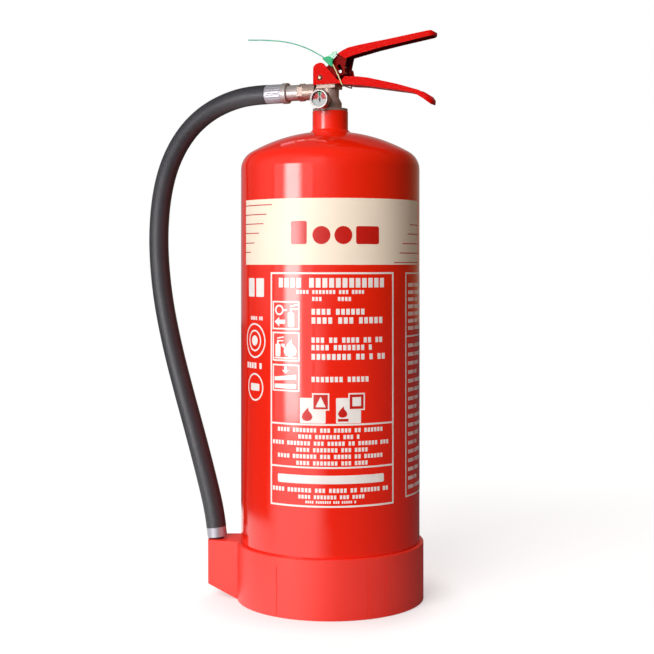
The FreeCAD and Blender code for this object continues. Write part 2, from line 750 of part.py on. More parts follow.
lever_top = ((13.0, 30.1), (18.0, 32.9), (24.1, 35.3), (35.9, 37.2), (62.9, 40.6),
             (88.2, 44.4), (106.6, 47.1))
lever_tip = ((109.7, 47.3), (111.4, 46.3), (lever_tip_end, 44.6), (111.4, 42.8), (109.2, 42.0))
lever_rim = ((81.6, 37.1), (59.2, 33.4), (28.1, 26.9), (21.0, 24.4))
lever_far_rim = ((74.0, 37.1), (50.5, 33.4), (24.0, 27.9), (15.5, 25.8))
ear_outline = ((19.9, 9.6), (19.9, 16.5), (21.6, 24.1), (24.0, 33.0), (18.0, 30.9), (13.0, 28.3),
               (-9.6, 9.5))
neck_web_low = (0.5, 17.9)
neck_web_depth = 2.8


def pin_slot(half_width):
    """Arc about the pivot that clears the pin while the lever is squeezed."""
    reach = math.hypot(pin_x - pivot_x, pin_z - pivot_z)
    start = math.atan2(pin_z - pivot_z, pin_x - pivot_x)
    end = start + math.radians(lever_travel)
    radius = pin_radius + pin_slot_gap

    def place(angle, distance):
        return V(pivot_x + distance * math.cos(angle), -half_width,
                 pivot_z + distance * math.sin(angle))

    def arc(distance):
        return Part.Arc(place(start, distance), place((start + end) / 2, distance),
                        place(end, distance)).toShape()

    sides = [arc(reach - radius), arc(reach + radius)]
    caps = [Part.LineSegment(place(angle, reach - radius), place(angle, reach + radius)).toShape()
            for angle in (start, end)]
    face = Part.Face(Part.Wire(Part.__sortEdges__(sides + caps)))
    slot = face.extrude(V(0, 2 * half_width, 0))
    ends = [rod(radius, place(angle, reach), V(0, 1, 0), 2 * half_width) for angle in (start, end)]
    return fuse([slot] + ends)


def make_operating_lever():
    """Folded channel, open below, with a narrow neck of two ears inside the fins."""
    back = raised(lever_top)
    tip = raised(lever_tip)
    channel = fuse([side_plate(back + tip + raised(lever_rim), -lever_half_width, 0),
                    side_plate(back + tip + raised(lever_far_rim), 0, lever_half_width)])
    channel = channel.common(lever_blank(0))
    under = [(x, z - sheet) for x, z in back]
    low = pivot_z
    end_x, end_z = tip[2]
    back_x, back_z = back[0]
    inside = lever_half_width - sheet
    hollow = side_plate(under + [(end_x - sheet, end_z), (end_x - sheet, low), (back_x, low)],
                        -inside, inside).common(lever_blank(sheet))
    hollow = hollow.fuse(block(0, back_x, -inside, inside, low, back_z - sheet))
    channel = channel.cut(hollow)
    ear = [(pivot_x, pivot_z - neck_ear_radius)] + raised(ear_outline)
    pieces = [channel]
    for side in (-1, 1):
        y0 = side * neck_outside
        y1 = side * neck_inside
        plate = side_plate(ear, min(y0, y1), max(y0, y1))
        eye = rod(neck_ear_radius, V(pivot_x, min(y0, y1), pivot_z), V(0, 1, 0), sheet)
        pieces += [plate, eye]
    roof = raised([neck_web_low]) + back[:2]
    web = side_plate(roof + [(x, z - neck_web_depth) for x, z in roof[::-1]],
                     -neck_outside, neck_outside)
    pad = block(stem_radius - pad_length, stem_radius + running_gap, -neck_outside, neck_outside,
                pad_bottom, pad_bottom + pad_height)
    lever = fuse(pieces + [web, pad])
    lever = lever.cut(rod(pivot_radius + shaft_gap, V(pivot_x, -2 * neck_outside, pivot_z),
                          V(0, 1, 0), 4 * neck_outside))
    return lever.cut(pin_slot(lever_half_width))


# ---- pin and seal ----
strap_y = handle_half_width + strap_radius + strap_gap
pin_near_end = -neck_outside - pin_overhang
pin_eye_y = handle_half_width + pin_eye_reach


def make_safety_pin():
    shaft = rod(pin_radius, V(pin_x, pin_near_end, pin_z), V(0, 1, 0), pin_eye_y - pin_near_end)
    eye = rod(pin_eye_radius, V(pin_x, pin_eye_y, pin_z - pin_eye_radius), UP, 2 * pin_eye_radius)
    hole = rod(pull_hole_radius, V(pin_x, pin_eye_y, pin_z - 2 * pin_eye_radius), UP,
               4 * pin_eye_radius)
    return fuse([shaft, eye]).cut(hole)


def make_pull_ring():
    centre = V(pin_x - pull_ring_radius, pin_eye_y, pin_z)
    return Part.makeTorus(pull_ring_radius, pull_ring_wire, centre, V(0, 1, 0))


strap_foot = (18.4, -2.2)
strap_top = (8.2, 31.0)
strap_route = ((6.1, 22.6), (9.6, 16.9), (12.9, 10.7), (16.3, 3.3))
lock_outline = ((-2.9, 25.6), (3.7, 27.6), (8.9, 24.6), (8.5, 16.2), (4.1, 18.8))


def make_seal_lock():
    near = -strap_y - lock_thickness / 2
    body = side_plate(raised(lock_outline), near, near + lock_thickness)
    return body.makeFillet(lock_round, body.Edges)


def make_seal_strap():
    """Loop from the lock down the near side, under the handle and up the far side."""
    down = raised(strap_route)
    near = [(x, -strap_y, z) for x, z in down]
    far = [(x, strap_y, z) for x, z in down]
    foot_x, foot_z = raised([strap_foot])[0]
    top_x, top_z = raised([strap_top])[0]
    loop = near + [(foot_x, -strap_y, foot_z), (foot_x, strap_y, foot_z)] + far[::-1]
    loop += [(top_x, strap_y, top_z), (top_x, -strap_y + 2 * strap_radius, top_z)]
    return cord(loop, strap_radius)[0].cut(make_seal_lock())


tail_route = ((-0.6, 26.1), (-11.0, 32.4), (-20.2, 37.1), (-29.0, 40.7), (-40.2, 44.1),
              (-51.4, 46.3), (-62.7, 47.7), (-72.0, 48.7), (-85.5, 49.5))


def make_seal_tail():
    route = [(x, -strap_y, z) for x, z in raised(tail_route)]
    return cord(route, tail_radius)[0].cut(make_seal_lock())


# ---- outlet and hose ----
OUTWARD = V(-1, 0, 0)


def outlet_point(distance):
    return V(-distance, 0, outlet_height)


nut_start = outlet_reach
nut_end = nut_start + nut_length
tail_end = nut_end + tail_tube_length
collar_end = tail_end + tail_collar_length
spigot_inner = outlet_reach - outlet_counter_depth + running_gap


def make_outlet_nut():
    nut = hexagon(nut_across_flats, outlet_point(nut_start), OUTWARD, nut_length)
    return nut.cut(rod(outlet_counterbore, outlet_point(nut_start - nut_length), OUTWARD,
                       3 * nut_length))


def make_hose_tail():
    """Metal tail of the hose: spigot, tube, collar and the barb inside the ferrule."""
    spigot = outlet_counterbore - seat_gap
    pieces = [
        rod(spigot, outlet_point(spigot_inner), OUTWARD, nut_end - spigot_inner),
        rod(tail_tube_radius, outlet_point(nut_end), OUTWARD, tail_tube_length),
        rod(tail_collar_radius, outlet_point(tail_end), OUTWARD, tail_collar_length),
        rod(ferrule_radius - ferrule_wall - seat_gap, outlet_point(collar_end), OUTWARD,
            ferrule_length - ferrule_wall),
    ]
    groove = tube(spigot + seat_gap, spigot - 2 * gland_ring_section,
                  outlet_point(outlet_ring_place - gland_ring_section - seat_gap), OUTWARD,
                  2 * gland_ring_section + 2 * seat_gap)
    bore = rod(outlet_bore, outlet_point(spigot_inner), OUTWARD,
               collar_end + ferrule_length - spigot_inner)
    return fuse(pieces).cut(groove).cut(bore)


outlet_ring_place = outlet_reach - outlet_counter_depth / 2


def make_outlet_o_ring():
    return Part.makeTorus(outlet_counterbore - gland_ring_section - seat_gap,
                          gland_ring_section - seat_gap, outlet_point(outlet_ring_place), OUTWARD)


def make_upper_ferrule():
    shell = rod(ferrule_radius, outlet_point(collar_end), OUTWARD, ferrule_length)
    return shell.cut(rod(ferrule_radius - ferrule_wall, outlet_point(collar_end), OUTWARD,
                         ferrule_length - ferrule_wall))


hose_start = -collar_end - ferrule_length
hose_stretch = (outlet_height - boot_height) / hose_rise
hose_route = [(hose_start, 0.0, outlet_height)]
hose_route += [(hose_start - out, y, boot_height + rise * hose_stretch)
               for out, y, rise in hose_upper]
nozzle_x = -boot_radius - nozzle_out
hose_route += [tuple(front_axis.multVec(V(nozzle_x - out, nozzle_side + side,
                                          boot_height + rise * hose_stretch)))
               for out, side, rise in hose_lower]


def make_hose():
    hose, length, radii = cord(hose_route, hose_radius)
    solid_volume = math.pi * hose_radius ** 2 * length
    print("hose length %.1f, volume ratio %.4f" % (length, hose.Volume / solid_volume))
    print("hose radii " + " ".join("%.0f" % r for r in radii))
    return hose


hose_foot = V(*hose_route[-1])
foot_heading = (hose_foot - V(*hose_route[-2])).normalize()
holder_seat = (hose_foot.z - boot_height - running_gap) / -foot_heading.z


def nozzle_shape(growth):
    """Tapered nozzle below the lower ferrule, or the hole that it stands in."""
    start = hose_foot + foot_heading * (lower_ferrule_end - growth)
    taper = nozzle_length / 4
    barrel = rod(nozzle_radius + growth, start, foot_heading, nozzle_length - taper + growth)
    tip = Part.makeCone(nozzle_radius + growth, nozzle_tip_radius + growth, taper + growth,
                        start + foot_heading * (nozzle_length - taper + growth), foot_heading)
    if growth:
        barrel = rod(nozzle_radius + growth, start - foot_heading * lower_ferrule_length,
                     foot_heading, nozzle_length - taper + growth + lower_ferrule_length)
    return fuse([barrel, tip])


lean = math.sqrt(1 - foot_heading.z ** 2)
lower_ferrule_end = holder_seat - lower_ferrule_radius * lean


def make_lower_ferrule():
    return rod(lower_ferrule_radius, hose_foot, foot_heading, lower_ferrule_end)


def make_spray_nozzle():
    solid = nozzle_shape(0)
    start = hose_foot + foot_heading * lower_ferrule_end
    return solid.cut(rod(nozzle_bore, start, foot_heading, 2 * nozzle_length))


MAKERS = {
    "cylinder_shell": make_cylinder,
    "neck_ring": make_neck,
    "foam_charge": make_foam,
    "base_boot": make_boot,
    "hanger_bracket": make_hanger,
    "valve_body": make_valve_body,
    "neck_o_ring": make_neck_o_ring,
    "gland_nut": make_gland,
    "gland_o_ring": make_gland_o_ring,
    "valve_stem": make_stem,
    "poppet_seal": make_poppet_seal,
    "stem_spring": make_spring,
    "spring_seat": make_spring_seat,
    "dip_tube": make_dip_tube,
    "strainer": make_strainer,
    "gauge_case": make_gauge_case,
    "gauge_dial": make_gauge_dial,
    "gauge_needle": make_gauge_needle,
    "gauge_lens": make_gauge_lens,
    "bourdon_tube": make_bourdon,
    "carry_handle": make_carry_handle,
    "lever_pivot": make_lever_pivot,
    "operating_lever": make_operating_lever,
    "safety_pin": make_safety_pin,
    "pull_ring": make_pull_ring,
    "seal_lock": make_seal_lock,
    "seal_strap": make_seal_strap,
    "seal_tail": make_seal_tail,
    "outlet_nut": make_outlet_nut,
    "hose_tail": make_hose_tail,
    "outlet_o_ring": make_outlet_o_ring,
    "upper_ferrule": make_upper_ferrule,
    "hose": make_hose,
    "lower_ferrule": make_lower_ferrule,
    "spray_nozzle": make_spray_nozzle,
}

os.makedirs("parts", exist_ok=True)
for name, make in MAKERS.items():
    shape = make()
    shape.exportStep("parts/%s.step" % name)
    print("%s %d %.1f" % (name, len(shape.Solids), shape.Volume))
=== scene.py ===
import math

import bpy
from mathutils import Matrix, Vector


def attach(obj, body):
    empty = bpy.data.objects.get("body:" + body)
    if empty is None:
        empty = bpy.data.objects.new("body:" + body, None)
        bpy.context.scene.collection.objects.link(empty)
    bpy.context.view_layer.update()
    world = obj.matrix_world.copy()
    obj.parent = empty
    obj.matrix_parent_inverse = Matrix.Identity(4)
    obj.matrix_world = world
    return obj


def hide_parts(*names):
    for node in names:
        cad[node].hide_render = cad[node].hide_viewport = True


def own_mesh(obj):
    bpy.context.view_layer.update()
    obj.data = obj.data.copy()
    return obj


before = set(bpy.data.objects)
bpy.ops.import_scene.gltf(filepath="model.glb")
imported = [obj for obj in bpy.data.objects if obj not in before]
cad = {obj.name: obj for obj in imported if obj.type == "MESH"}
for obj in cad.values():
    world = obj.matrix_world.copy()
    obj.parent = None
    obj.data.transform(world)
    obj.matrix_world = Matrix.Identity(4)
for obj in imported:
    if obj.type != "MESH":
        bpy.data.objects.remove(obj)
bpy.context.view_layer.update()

# ---- Photographer's tripod ----
# A level camera, 1.3 m from the cylinder's axis and 336 mm above the floor. It looks square at the
# printed front, which sits 23 degrees round from the gauge, from a few millimetres to the left.
mm = 0.001
front_turn = math.radians(23)
camera_distance = 1300.0
camera_left = 3.3
camera_height = 336.2
tripod = bpy.data.cameras.new("tripod_camera")
tripod.sensor_width = 36
tripod.lens = 70.79
tripod.shift_y = -0.0979
camera = bpy.data.objects.new("tripod_camera", tripod)
camera.location = Vector((
    camera_distance * math.sin(front_turn) - camera_left * math.cos(front_turn),
    -camera_distance * math.cos(front_turn) - camera_left * math.sin(front_turn),
    camera_height)) * mm
camera.rotation_euler = (math.radians(90), 0, front_turn)
bpy.context.collection.objects.link(camera)
bpy.context.scene.camera = camera


# ---- Discharge hose ----
# Synthetic rubber extruded over a braid, 20 mm outside. It leaves the ferrule straight, swings out
# and hangs down to the nozzle, with its whole 519 mm in view.
hose_diameter = 20 * mm
hose_line = (
    (-0.0705, 0.0, 0.5100), (-0.0900, 0.0, 0.5100), (-0.1135, -0.0025, 0.5048),
    (-0.1355, -0.0075, 0.4940), (-0.1538, -0.0130, 0.4774), (-0.1672, -0.0190, 0.4553),
    (-0.1758, -0.0250, 0.4288), (-0.1802, -0.0300, 0.3950), (-0.1801, -0.0338, 0.3530),
    (-0.1736, -0.0368, 0.3035), (-0.1618, -0.0386, 0.2545), (-0.1474, -0.0392, 0.2065),
    (-0.1322, -0.0394, 0.1590), (-0.1184, -0.0397, 0.1130), (-0.1105, -0.0399, 0.0830),
    (-0.1086, -0.0400, 0.0686),
)


def shade(code):
    """A written sRGB colour as the linear values that a shader takes."""
    parts = [int(code[i:i + 2], 16) / 255 for i in (1, 3, 5)]
    return [p / 12.92 if p <= 0.04045 else ((p + 0.055) / 1.055) ** 2.4 for p in parts] + [1]


def add(tree, kind, inputs=(), **settings):
    """Adds one node with its settings; an input takes a value or another node's output."""
    made = tree.nodes.new("ShaderNode" + kind)
    for name, value in settings.items():
        setattr(made, name, value)
    for name, value in dict(inputs).items():
        if isinstance(value, bpy.types.NodeSocket):
            tree.links.new(value, made.inputs[name])
        else:
            made.inputs[name].default_value = value
    return made


def surface(name, colour, **sockets):
    """A material with one shader, at its uniform values."""
    material = bpy.data.materials.new(name)
    material.use_nodes = True
    shader = material.node_tree.nodes["Principled BSDF"]
    for socket, value in {"Base_Color": shade(colour), **sockets}.items():
        shader.inputs[socket.replace("_", " ")].default_value = value
    return material, material.node_tree, shader


def mottle(tree, shader, size, dark, light):
    """Lets the colour drift between two shades over patches of a size in mm."""
    place = add(tree, "TexCoord").outputs["Object"]
    cloud = add(tree, "TexNoise", {"Vector": place, "Scale": 1 / (size * mm), "Detail": 4,
                                   "Roughness": 0.6})
    # Inputs 6 and 7 of this node are the two colours that it mixes.
    tones = add(tree, "Mix", {"Factor": cloud.outputs[0], 6: shade(dark), 7: shade(light)},
                data_type="RGBA")
    tree.links.new(tones.outputs[2], shader.inputs["Base Color"])


def dull(tree, shader, size, low, high):
    """Lets the gloss drift between two roughnesses over patches of a size in mm."""
    place = add(tree, "TexCoord").outputs["Object"]
    cloud = add(tree, "TexNoise", {"Vector": place, "Scale": 1 / (size * mm), "Detail": 3})
    gloss = add(tree, "MapRange", {"Value": cloud.outputs[0], "From Min": 0.3, "From Max": 0.7,
                                   "To Min": low, "To Max": high})
    tree.links.new(gloss.outputs[0], shader.inputs["Roughness"])


def grain(tree, shader, size, depth):
    """Raises a grain of a size and depth in mm."""
    place = add(tree, "TexCoord").outputs["Object"]
    pits = add(tree, "TexNoise", {"Vector": place, "Scale": 1 / (size * mm), "Detail": 2})
    bump = add(tree, "Bump", {"Height": pits.outputs[0], "Distance": depth * mm, "Strength": 1.0})
    tree.links.new(bump.outputs[0], shader.inputs["Normal"])


# Extruded rubber: near black, silky where the lamp strikes it, with a faint bloom and a skin that
# is rough at about half a millimetre.
rubber, tree, shader = surface("extruded_rubber", "#2B2A2E", Roughness=0.5, IOR=1.65)
mottle(tree, shader, 30, "#262529", "#343237")
grain(tree, shader, 0.7, 0.05)

hose_curve = bpy.data.curves.new("hose_rubber", "CURVE")
hose_curve.dimensions = "3D"
run = hose_curve.splines.new("NURBS")
run.points.add(len(hose_line) - 1)
for point, place in zip(run.points, hose_line):
    point.co = (*place, 1)
run.order_u = 3
run.use_endpoint_u = True
run.resolution_u = 14
hose_curve.bevel_depth = hose_diameter / 2
hose_curve.bevel_resolution = 12
hose_curve.use_fill_caps = True
hose_curve.materials.append(rubber)
hose = bpy.data.objects.new("hose_rubber", hose_curve)
bpy.context.collection.objects.link(hose)
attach(hose, "root")
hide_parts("hose")


# ---- Cylinder ----
# Deep-drawn 1.5 mm steel, welded and powder coated red. The coat is thick and glossy, with the
# slight orange peel that the spray leaves.
body_radius = 90.0
body_wall = 1.5
knuckle = 20.0
crown = 160.0
foot_gap = 3.3
shoulder = 430.0
neck_radius = 18.0
body_steps = 256
dome_steps = 24
knuckle_steps = 12
side_steps = 8
sharp_corner = math.radians(32)


def place_mesh(name, vertices, faces, material, body="root", slot=None, instead=()):
    """Makes a mesh from places in mm and fixes it to its body."""
    mesh = bpy.data.meshes.new(name)
    mesh.from_pydata([Vector(v) * mm for v in vertices], [], faces)
    mesh.update()
    mesh.polygons.foreach_set("use_smooth", [True] * len(mesh.polygons))
    mesh.set_sharp_from_angle(angle=sharp_corner)
    mesh.materials.append(material)
    made = bpy.data.objects.new(name, mesh)
    bpy.context.collection.objects.link(made)
    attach(made, body)
    if instead:
        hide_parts(*instead)
    return made


def turned(outline, steps):
    """Revolves a closed (radius, height) outline, with points on the axis as single points."""
    vertices, faces, rings = [], [], []
    for radius, height in outline:
        if radius < 1e-6:
            rings.append([len(vertices)] * steps)
            vertices.append(Vector((0, 0, height)))
            continue
        rings.append([len(vertices) + i for i in range(steps)])
        vertices += [Vector((radius * math.cos(2 * math.pi * i / steps),
                             radius * math.sin(2 * math.pi * i / steps), height))
                     for i in range(steps)]
    for low, high in zip(rings, rings[1:] + rings[:1]):
        if low[0] == low[1] and high[0] == high[1]:
            continue
        for i in range(steps):
            j = (i + 1) % steps
            faces.append(list(dict.fromkeys((low[i], low[j], high[j], high[i]))))
    return vertices, faces


def arc(centre, radius, start, end, steps):
    """Points along an arc, with angles in degrees."""
    return [(centre[0] + radius * math.cos(math.radians(start + (end - start) * i / steps)),
             centre[1] + radius * math.sin(math.radians(start + (end - start) * i / steps)))
            for i in range(steps + 1)]


# Powder coat: strong red, clear gloss, and a skin that waves by a few micrometres every 3 mm. The
# wave is drawn 20 micrometres deep, so that it shows.
red_enamel, tree, shader = surface("gloss_powder_coat", "#F02107", Roughness=0.1, IOR=1.7)
mottle(tree, shader, 60, "#EC1E05", "#F32409")
dull(tree, shader, 25, 0.08, 0.13)
grain(tree, shader, 3.0, 0.02)

knuckle_centre = body_radius - knuckle
crown_drop = math.sqrt((crown - knuckle) ** 2 - knuckle_centre ** 2)
knuckle_end = math.degrees(math.atan2(crown_drop, knuckle_centre))
foot = foot_gap + crown - crown_drop


def vessel_side(inset):
    """Right-hand profile of the cylinder from its foot to the neck, moved in by an inset."""
    neck_end = math.degrees(math.acos(neck_radius / (crown - inset)))
    low_dome = arc((0, foot + crown_drop), crown - inset, -90, -knuckle_end, dome_steps)
    low_dome[0] = (0, low_dome[0][1])
    low_knuckle = arc((knuckle_centre, foot), knuckle - inset, -knuckle_end, 0, knuckle_steps)
    side = [(body_radius - inset, foot + (shoulder - foot) * i / side_steps)
            for i in range(1, side_steps)]
    top_knuckle = arc((knuckle_centre, shoulder), knuckle - inset, 0, knuckle_end, knuckle_steps)
    top_dome = arc((0, shoulder - crown_drop), crown - inset, knuckle_end, neck_end, dome_steps)
    return low_dome + low_knuckle[1:] + side + top_knuckle[:-1] + top_dome


shell_outline = vessel_side(0) + vessel_side(body_wall)[::-1]
place_mesh("cylinder_coated", *turned(shell_outline, body_steps), red_enamel,
           slot="red_paint", instead=["cylinder_shell"])


# ---- Neck ----
# A turned steel collar, let into the dome and held by a hand-laid weld bead with its ripples, all
# under the same coat.
neck_bottom = 459.7
neck_top = 489.0
neck_bore = 15.0
neck_edge = 0.8
neck_land = 0.3
neck_steps = 128
weld_height = 467.7
ripple_count = 44
ripple_steps = 6
ripple_depth = 0.25

collar_outline = ([(neck_bore, neck_bottom), (neck_radius, neck_bottom),
                   (neck_radius, neck_top - neck_edge - neck_land)]
                  + arc((neck_radius - neck_edge, neck_top - neck_edge), neck_edge, 0, 90, 5)
                  + [(neck_bore + neck_edge / 2, neck_top), (neck_bore, neck_top - neck_edge / 2)])
place_mesh("neck_collar", *turned(collar_outline, neck_steps), red_enamel, slot="red_paint",
           instead=["neck_ring"])

bead_section = ((17.6, -0.6), (20.3, -0.45), (20.5, 0.1), (19.9, 0.9), (19.1, 1.6), (18.5, 2.2),
                (18.1, 2.7), (17.6, 2.7))
bead_points = len(bead_section)
bead_steps = ripple_count * ripple_steps
bead_vertices, bead_faces = [], []
for i in range(bead_steps):
    angle = 2 * math.pi * i / bead_steps
    swell = ripple_depth * (math.cos(ripple_count * angle) - 1) / 2
    for k, (radius, rise) in enumerate(bead_section):
        out = swell if 1 < k < bead_points - 2 else 0
        bead_vertices.append(((radius + out) * math.cos(angle), (radius + out) * math.sin(angle),
                              weld_height + rise + out / 2))
        a, b = i * bead_points + k, i * bead_points + (k + 1) % bead_points
        bead_faces.append([corner % (bead_points * bead_steps)
                           for corner in (a, a + bead_points, b + bead_points, b)])
place_mesh("neck_weld", bead_vertices, bead_faces, red_enamel, slot="red_paint")


# ---- Printed front ----
# Screen-printed ink on the coat: a cream band with a red mark and fine lines, and below it a white
# panel of picture boxes and rows of small blocks, with a narrower panel on each side.
ink_rise = 0.10
ink_sunk = 0.04
ink_step = 2.5
hair = 0.03  # the least width and height of a printed shape
box_rise = ink_rise + 0.03
mark_rise = ink_rise + 0.06
top_rise = ink_rise + 0.1
disc_steps = 20
hoop_steps = 12
corner_steps = 3


def printed(name, outlines, rise, material, sunk=ink_sunk):
    """Raises outlines, in mm across and up the front, off the cylinder as thin closed ink."""
    vertices, faces = [], []
    for outline in outlines:
        left = min(u for u, z in outline)
        right = max(u for u, z in outline)
        count = max(1, math.ceil((right - left) / ink_step))
        places = sorted({left + (right - left) * i / count for i in range(count + 1)}
                        | {u for u, z in outline})
        places = [places[0]] + [b for a, b in zip(places, places[1:]) if b - a > hair]
        first = len(vertices)
        for u in places:
            heights = []
            for (ua, za), (ub, zb) in zip(outline, outline[1:] + outline[:1]):
                if abs(ua - ub) < hair / 10:
                    heights += [za, zb] if abs(u - ua) < hair / 10 else []
                elif min(ua, ub) - hair / 10 <= u <= max(ua, ub) + hair / 10:
                    heights.append(za + (zb - za) * (u - ua) / (ub - ua))
            low = min(heights)
            high = max(max(heights), low + hair)
            angle = front_turn + u / body_radius
            for lift, height in ((rise, low), (rise, high), (-sunk, high), (-sunk, low)):
                radius = body_radius + lift
                vertices.append((radius * math.sin(angle), -radius * math.cos(angle), height))
        for n in range(len(places) - 1):
            a = first + 4 * n
            faces += [(a + k, a + 4 + k, a + 4 + (k + 1) % 4, a + (k + 1) % 4) for k in range(4)]
        end = len(vertices) - 4
        faces += [(first, first + 1, first + 2, first + 3), (end + 3, end + 2, end + 1, end)]
    return place_mesh(name, vertices, faces, material)


def bar(u0, u1, z0, z1, corner=0.0):
    """A rectangle, with its corners cut round if asked."""
    if not corner:
        return [(u0, z0), (u1, z0), (u1, z1), (u0, z1)]
    return (arc((u1 - corner, z0 + corner), corner, -90, 0, corner_steps)
            + arc((u1 - corner, z1 - corner), corner, 0, 90, corner_steps)
            + arc((u0 + corner, z1 - corner), corner, 90, 180, corner_steps)
            + arc((u0 + corner, z0 + corner), corner, 180, 270, corner_steps))


def disc(u, z, radius):
    """A full round spot."""
    return arc((u, z), radius, 0, 360 - 360 / disc_steps, disc_steps - 1)


def hoop(u, z, radius, width):
    """Two half rings."""
    return [arc((u, z), radius, start, start + 180, hoop_steps)
            + arc((u, z), radius - width, start + 180, start, hoop_steps) for start in (0, 180)]


def box_line(u0, u1, z0, z1, width):
    """The four sides of a printed frame."""
    return [bar(u0, u1, z0, z0 + width), bar(u0, u1, z1 - width, z1),
            bar(u0, u0 + width, z0 + width, z1 - width),
            bar(u1 - width, u1, z0 + width, z1 - width)]


def block_row(left, right, low, tall, groups=(4, 7, 3, 5, 2, 6), wide=0.62, apart=0.26, space=0.7):
    """A row of plain blocks in groups; their width and gaps are shares of their height."""
    blocks = []
    width = wide * tall
    u, left_in_group, group = left, groups[0], 0
    while u + width <= right + hair:
        blocks.append(bar(u, u + width, low, low + tall))
        left_in_group -= 1
        u += width + apart * tall
        if not left_in_group:
            group = (group + 1) % len(groups)
            left_in_group = groups[group]
            u += space * tall
    return blocks


def flame(u, z, height):
    """A plain flame, drawn as a leaning drop."""
    points = ((0.0, 0.0), (0.3, 0.08), (0.42, 0.3), (0.34, 0.52), (0.14, 0.74), (0.1, 1.0),
              (-0.16, 0.72), (-0.34, 0.5), (-0.4, 0.28), (-0.28, 0.08))
    return [(u + x * height, z + y * height) for x, y in points]


def little_extinguisher(u, z, height):
    """A cylinder with its head and two levers; all its sizes are shares of its height."""
    parts = (bar(-0.16, 0.16, 0, 0.66, 0.07), bar(-0.05, 0.05, 0.66, 0.78),
             bar(-0.05, 0.34, 0.78, 0.85),
             [(-0.05, 0.9), (0.36, 0.98), (0.36, 1.05), (-0.05, 0.97)])
    return [[(u + x * height, z + y * height) for x, y in part] for part in parts]


# Screen inks: thick and a little less glossy than the coat, the cream one quite matt.
cream_ink, tree, shader = surface("cream_screen_ink", "#FBE9D3", Roughness=0.42, IOR=1.5)
mottle(tree, shader, 40, "#F8E4CC", "#FDEDDA")
grain(tree, shader, 1.5, 0.008)
white_ink, tree, shader = surface("white_screen_ink", "#F6EFEA", Roughness=0.25, IOR=1.7)
mottle(tree, shader, 12, "#EFE4DE", "#FBF6F2")
red_ink, tree, shader = surface("red_screen_ink", "#C9180F", Roughness=0.25, IOR=1.7)
mottle(tree, shader, 15, "#C0150D", "#D01C13")

# The cream band, with a mark of four plain shapes and fine lines that run in from both its ends.
band_left, band_right, band_low, band_high = -105, 115, 334.5, 397.5
line_half = 0.45
left_lines = ((392, -60.3), (383, -67.5), (374, -71.7), (365, -78.6), (355.6, -86.3),
              (346.6, -93.2))
right_lines = ((373.5, 93.7), (364.4, 88.6), (355, 79.7), (345.8, 74.9), (336.7, 67.0))
printed("print_cream_band", [bar(band_left, band_right, band_low, band_high)], ink_rise, cream_ink)
band_marks = [bar(band_left, end, z - line_half, z + line_half) for z, end in left_lines]
band_marks += [bar(start, band_right, z - line_half, z + line_half) for z, start in right_lines]
band_marks += [bar(-38.6, -22.6, 354, 376, 2), disc(-8.6, 362.5, 8.6), disc(12.2, 362.5, 8.6),
               bar(24.4, 48.4, 354, 371, 2)]
printed("print_band_marks", band_marks, mark_rise, red_ink, sunk=0)

# The white panel: its frame and two rules, then its rows from the top down, each with its two
# ends, foot and height, and the sizes of its groups where they differ.
panel_left, panel_right, panel_low, panel_high = -61.9, 66.3, 105.8, 327.4
panel_line = 1.7
rule_line = 1.6
panel_rows = (
    (-52, 54.3, 313, 9, (4, 12), 0.515, 0.19), (-33, 35.5, 307, 3.7),
    (-17.5, -7, 300.4, 3.8, (3,)), (7, 19.5, 300.4, 3.8, (4,)), (-18, 33, 287.5, 5.5, (4, 7)),
    (-18, 55.5, 279, 6, (4, 3, 6, 3)), (-18, 52.5, 261, 5, (3, 2, 4, 2, 4)),
    (-18, 40.7, 254, 5), (-18, 57, 245, 5.5, (8, 2, 1, 5)), (-18, 40.7, 224, 5, (7, 6)),
    (-53, 55.5, 176.5, 3.9), (-31, 31, 170.3, 3.9), (-59, 62, 164.1, 3.9), (-33, 36, 157.9, 3.9),
    (-53, 55.5, 151.7, 3.9), (-33, 36, 145.5, 3.9), (-59, 62, 119.8, 4), (-31, 33, 113.8, 3.6),
    (-24, 25, 109.6, 2.4),
)
panel = box_line(panel_left, panel_right, panel_low, panel_high, panel_line)
panel += [bar(panel_left + panel_line, panel_right - panel_line, low, low + rule_line)
          for low in (183.0, 142.5)]
for row in panel_rows:
    panel += block_row(*row)
panel.append(bar(-53, 54, 128, 136, 1.5))

# Its three picture boxes show a pin being drawn, a jet on a flame and a lever pressed down.
for low, high in ((273, 300), (243, 270.6), (214.5, 240)):
    panel += box_line(-59.3, -29.8, low, high, 1.4)
panel += little_extinguisher(-38.5, 275.5, 21) + hoop(-51.5, 291.5, 5, 1.7)
panel += [bar(-46.3, -43, 290.6, 292.4), [(-57, 280.3), (-51.5, 275.8), (-51.5, 284.8)],
          bar(-51.4, -45, 278.3, 282.3)]
panel += little_extinguisher(-53, 247.2, 18.5) + [flame(-39.6, 247.2, 17)]
panel += [[(-49.2, 259.6), (-49.2, 257.4), (-45.5, 255), (-45.5, 259.4)],
          bar(-57, -32, 245.3, 246.7)]
panel += [[(-57, 224.2), (-33, 226), (-33, 230.4), (-57, 228)], bar(-57, -33, 217.2, 221.4, 1),
          [(-48.5, 234.6), (-44.4, 231.2), (-40.3, 234.6)], bar(-45.8, -43, 234.7, 238)]

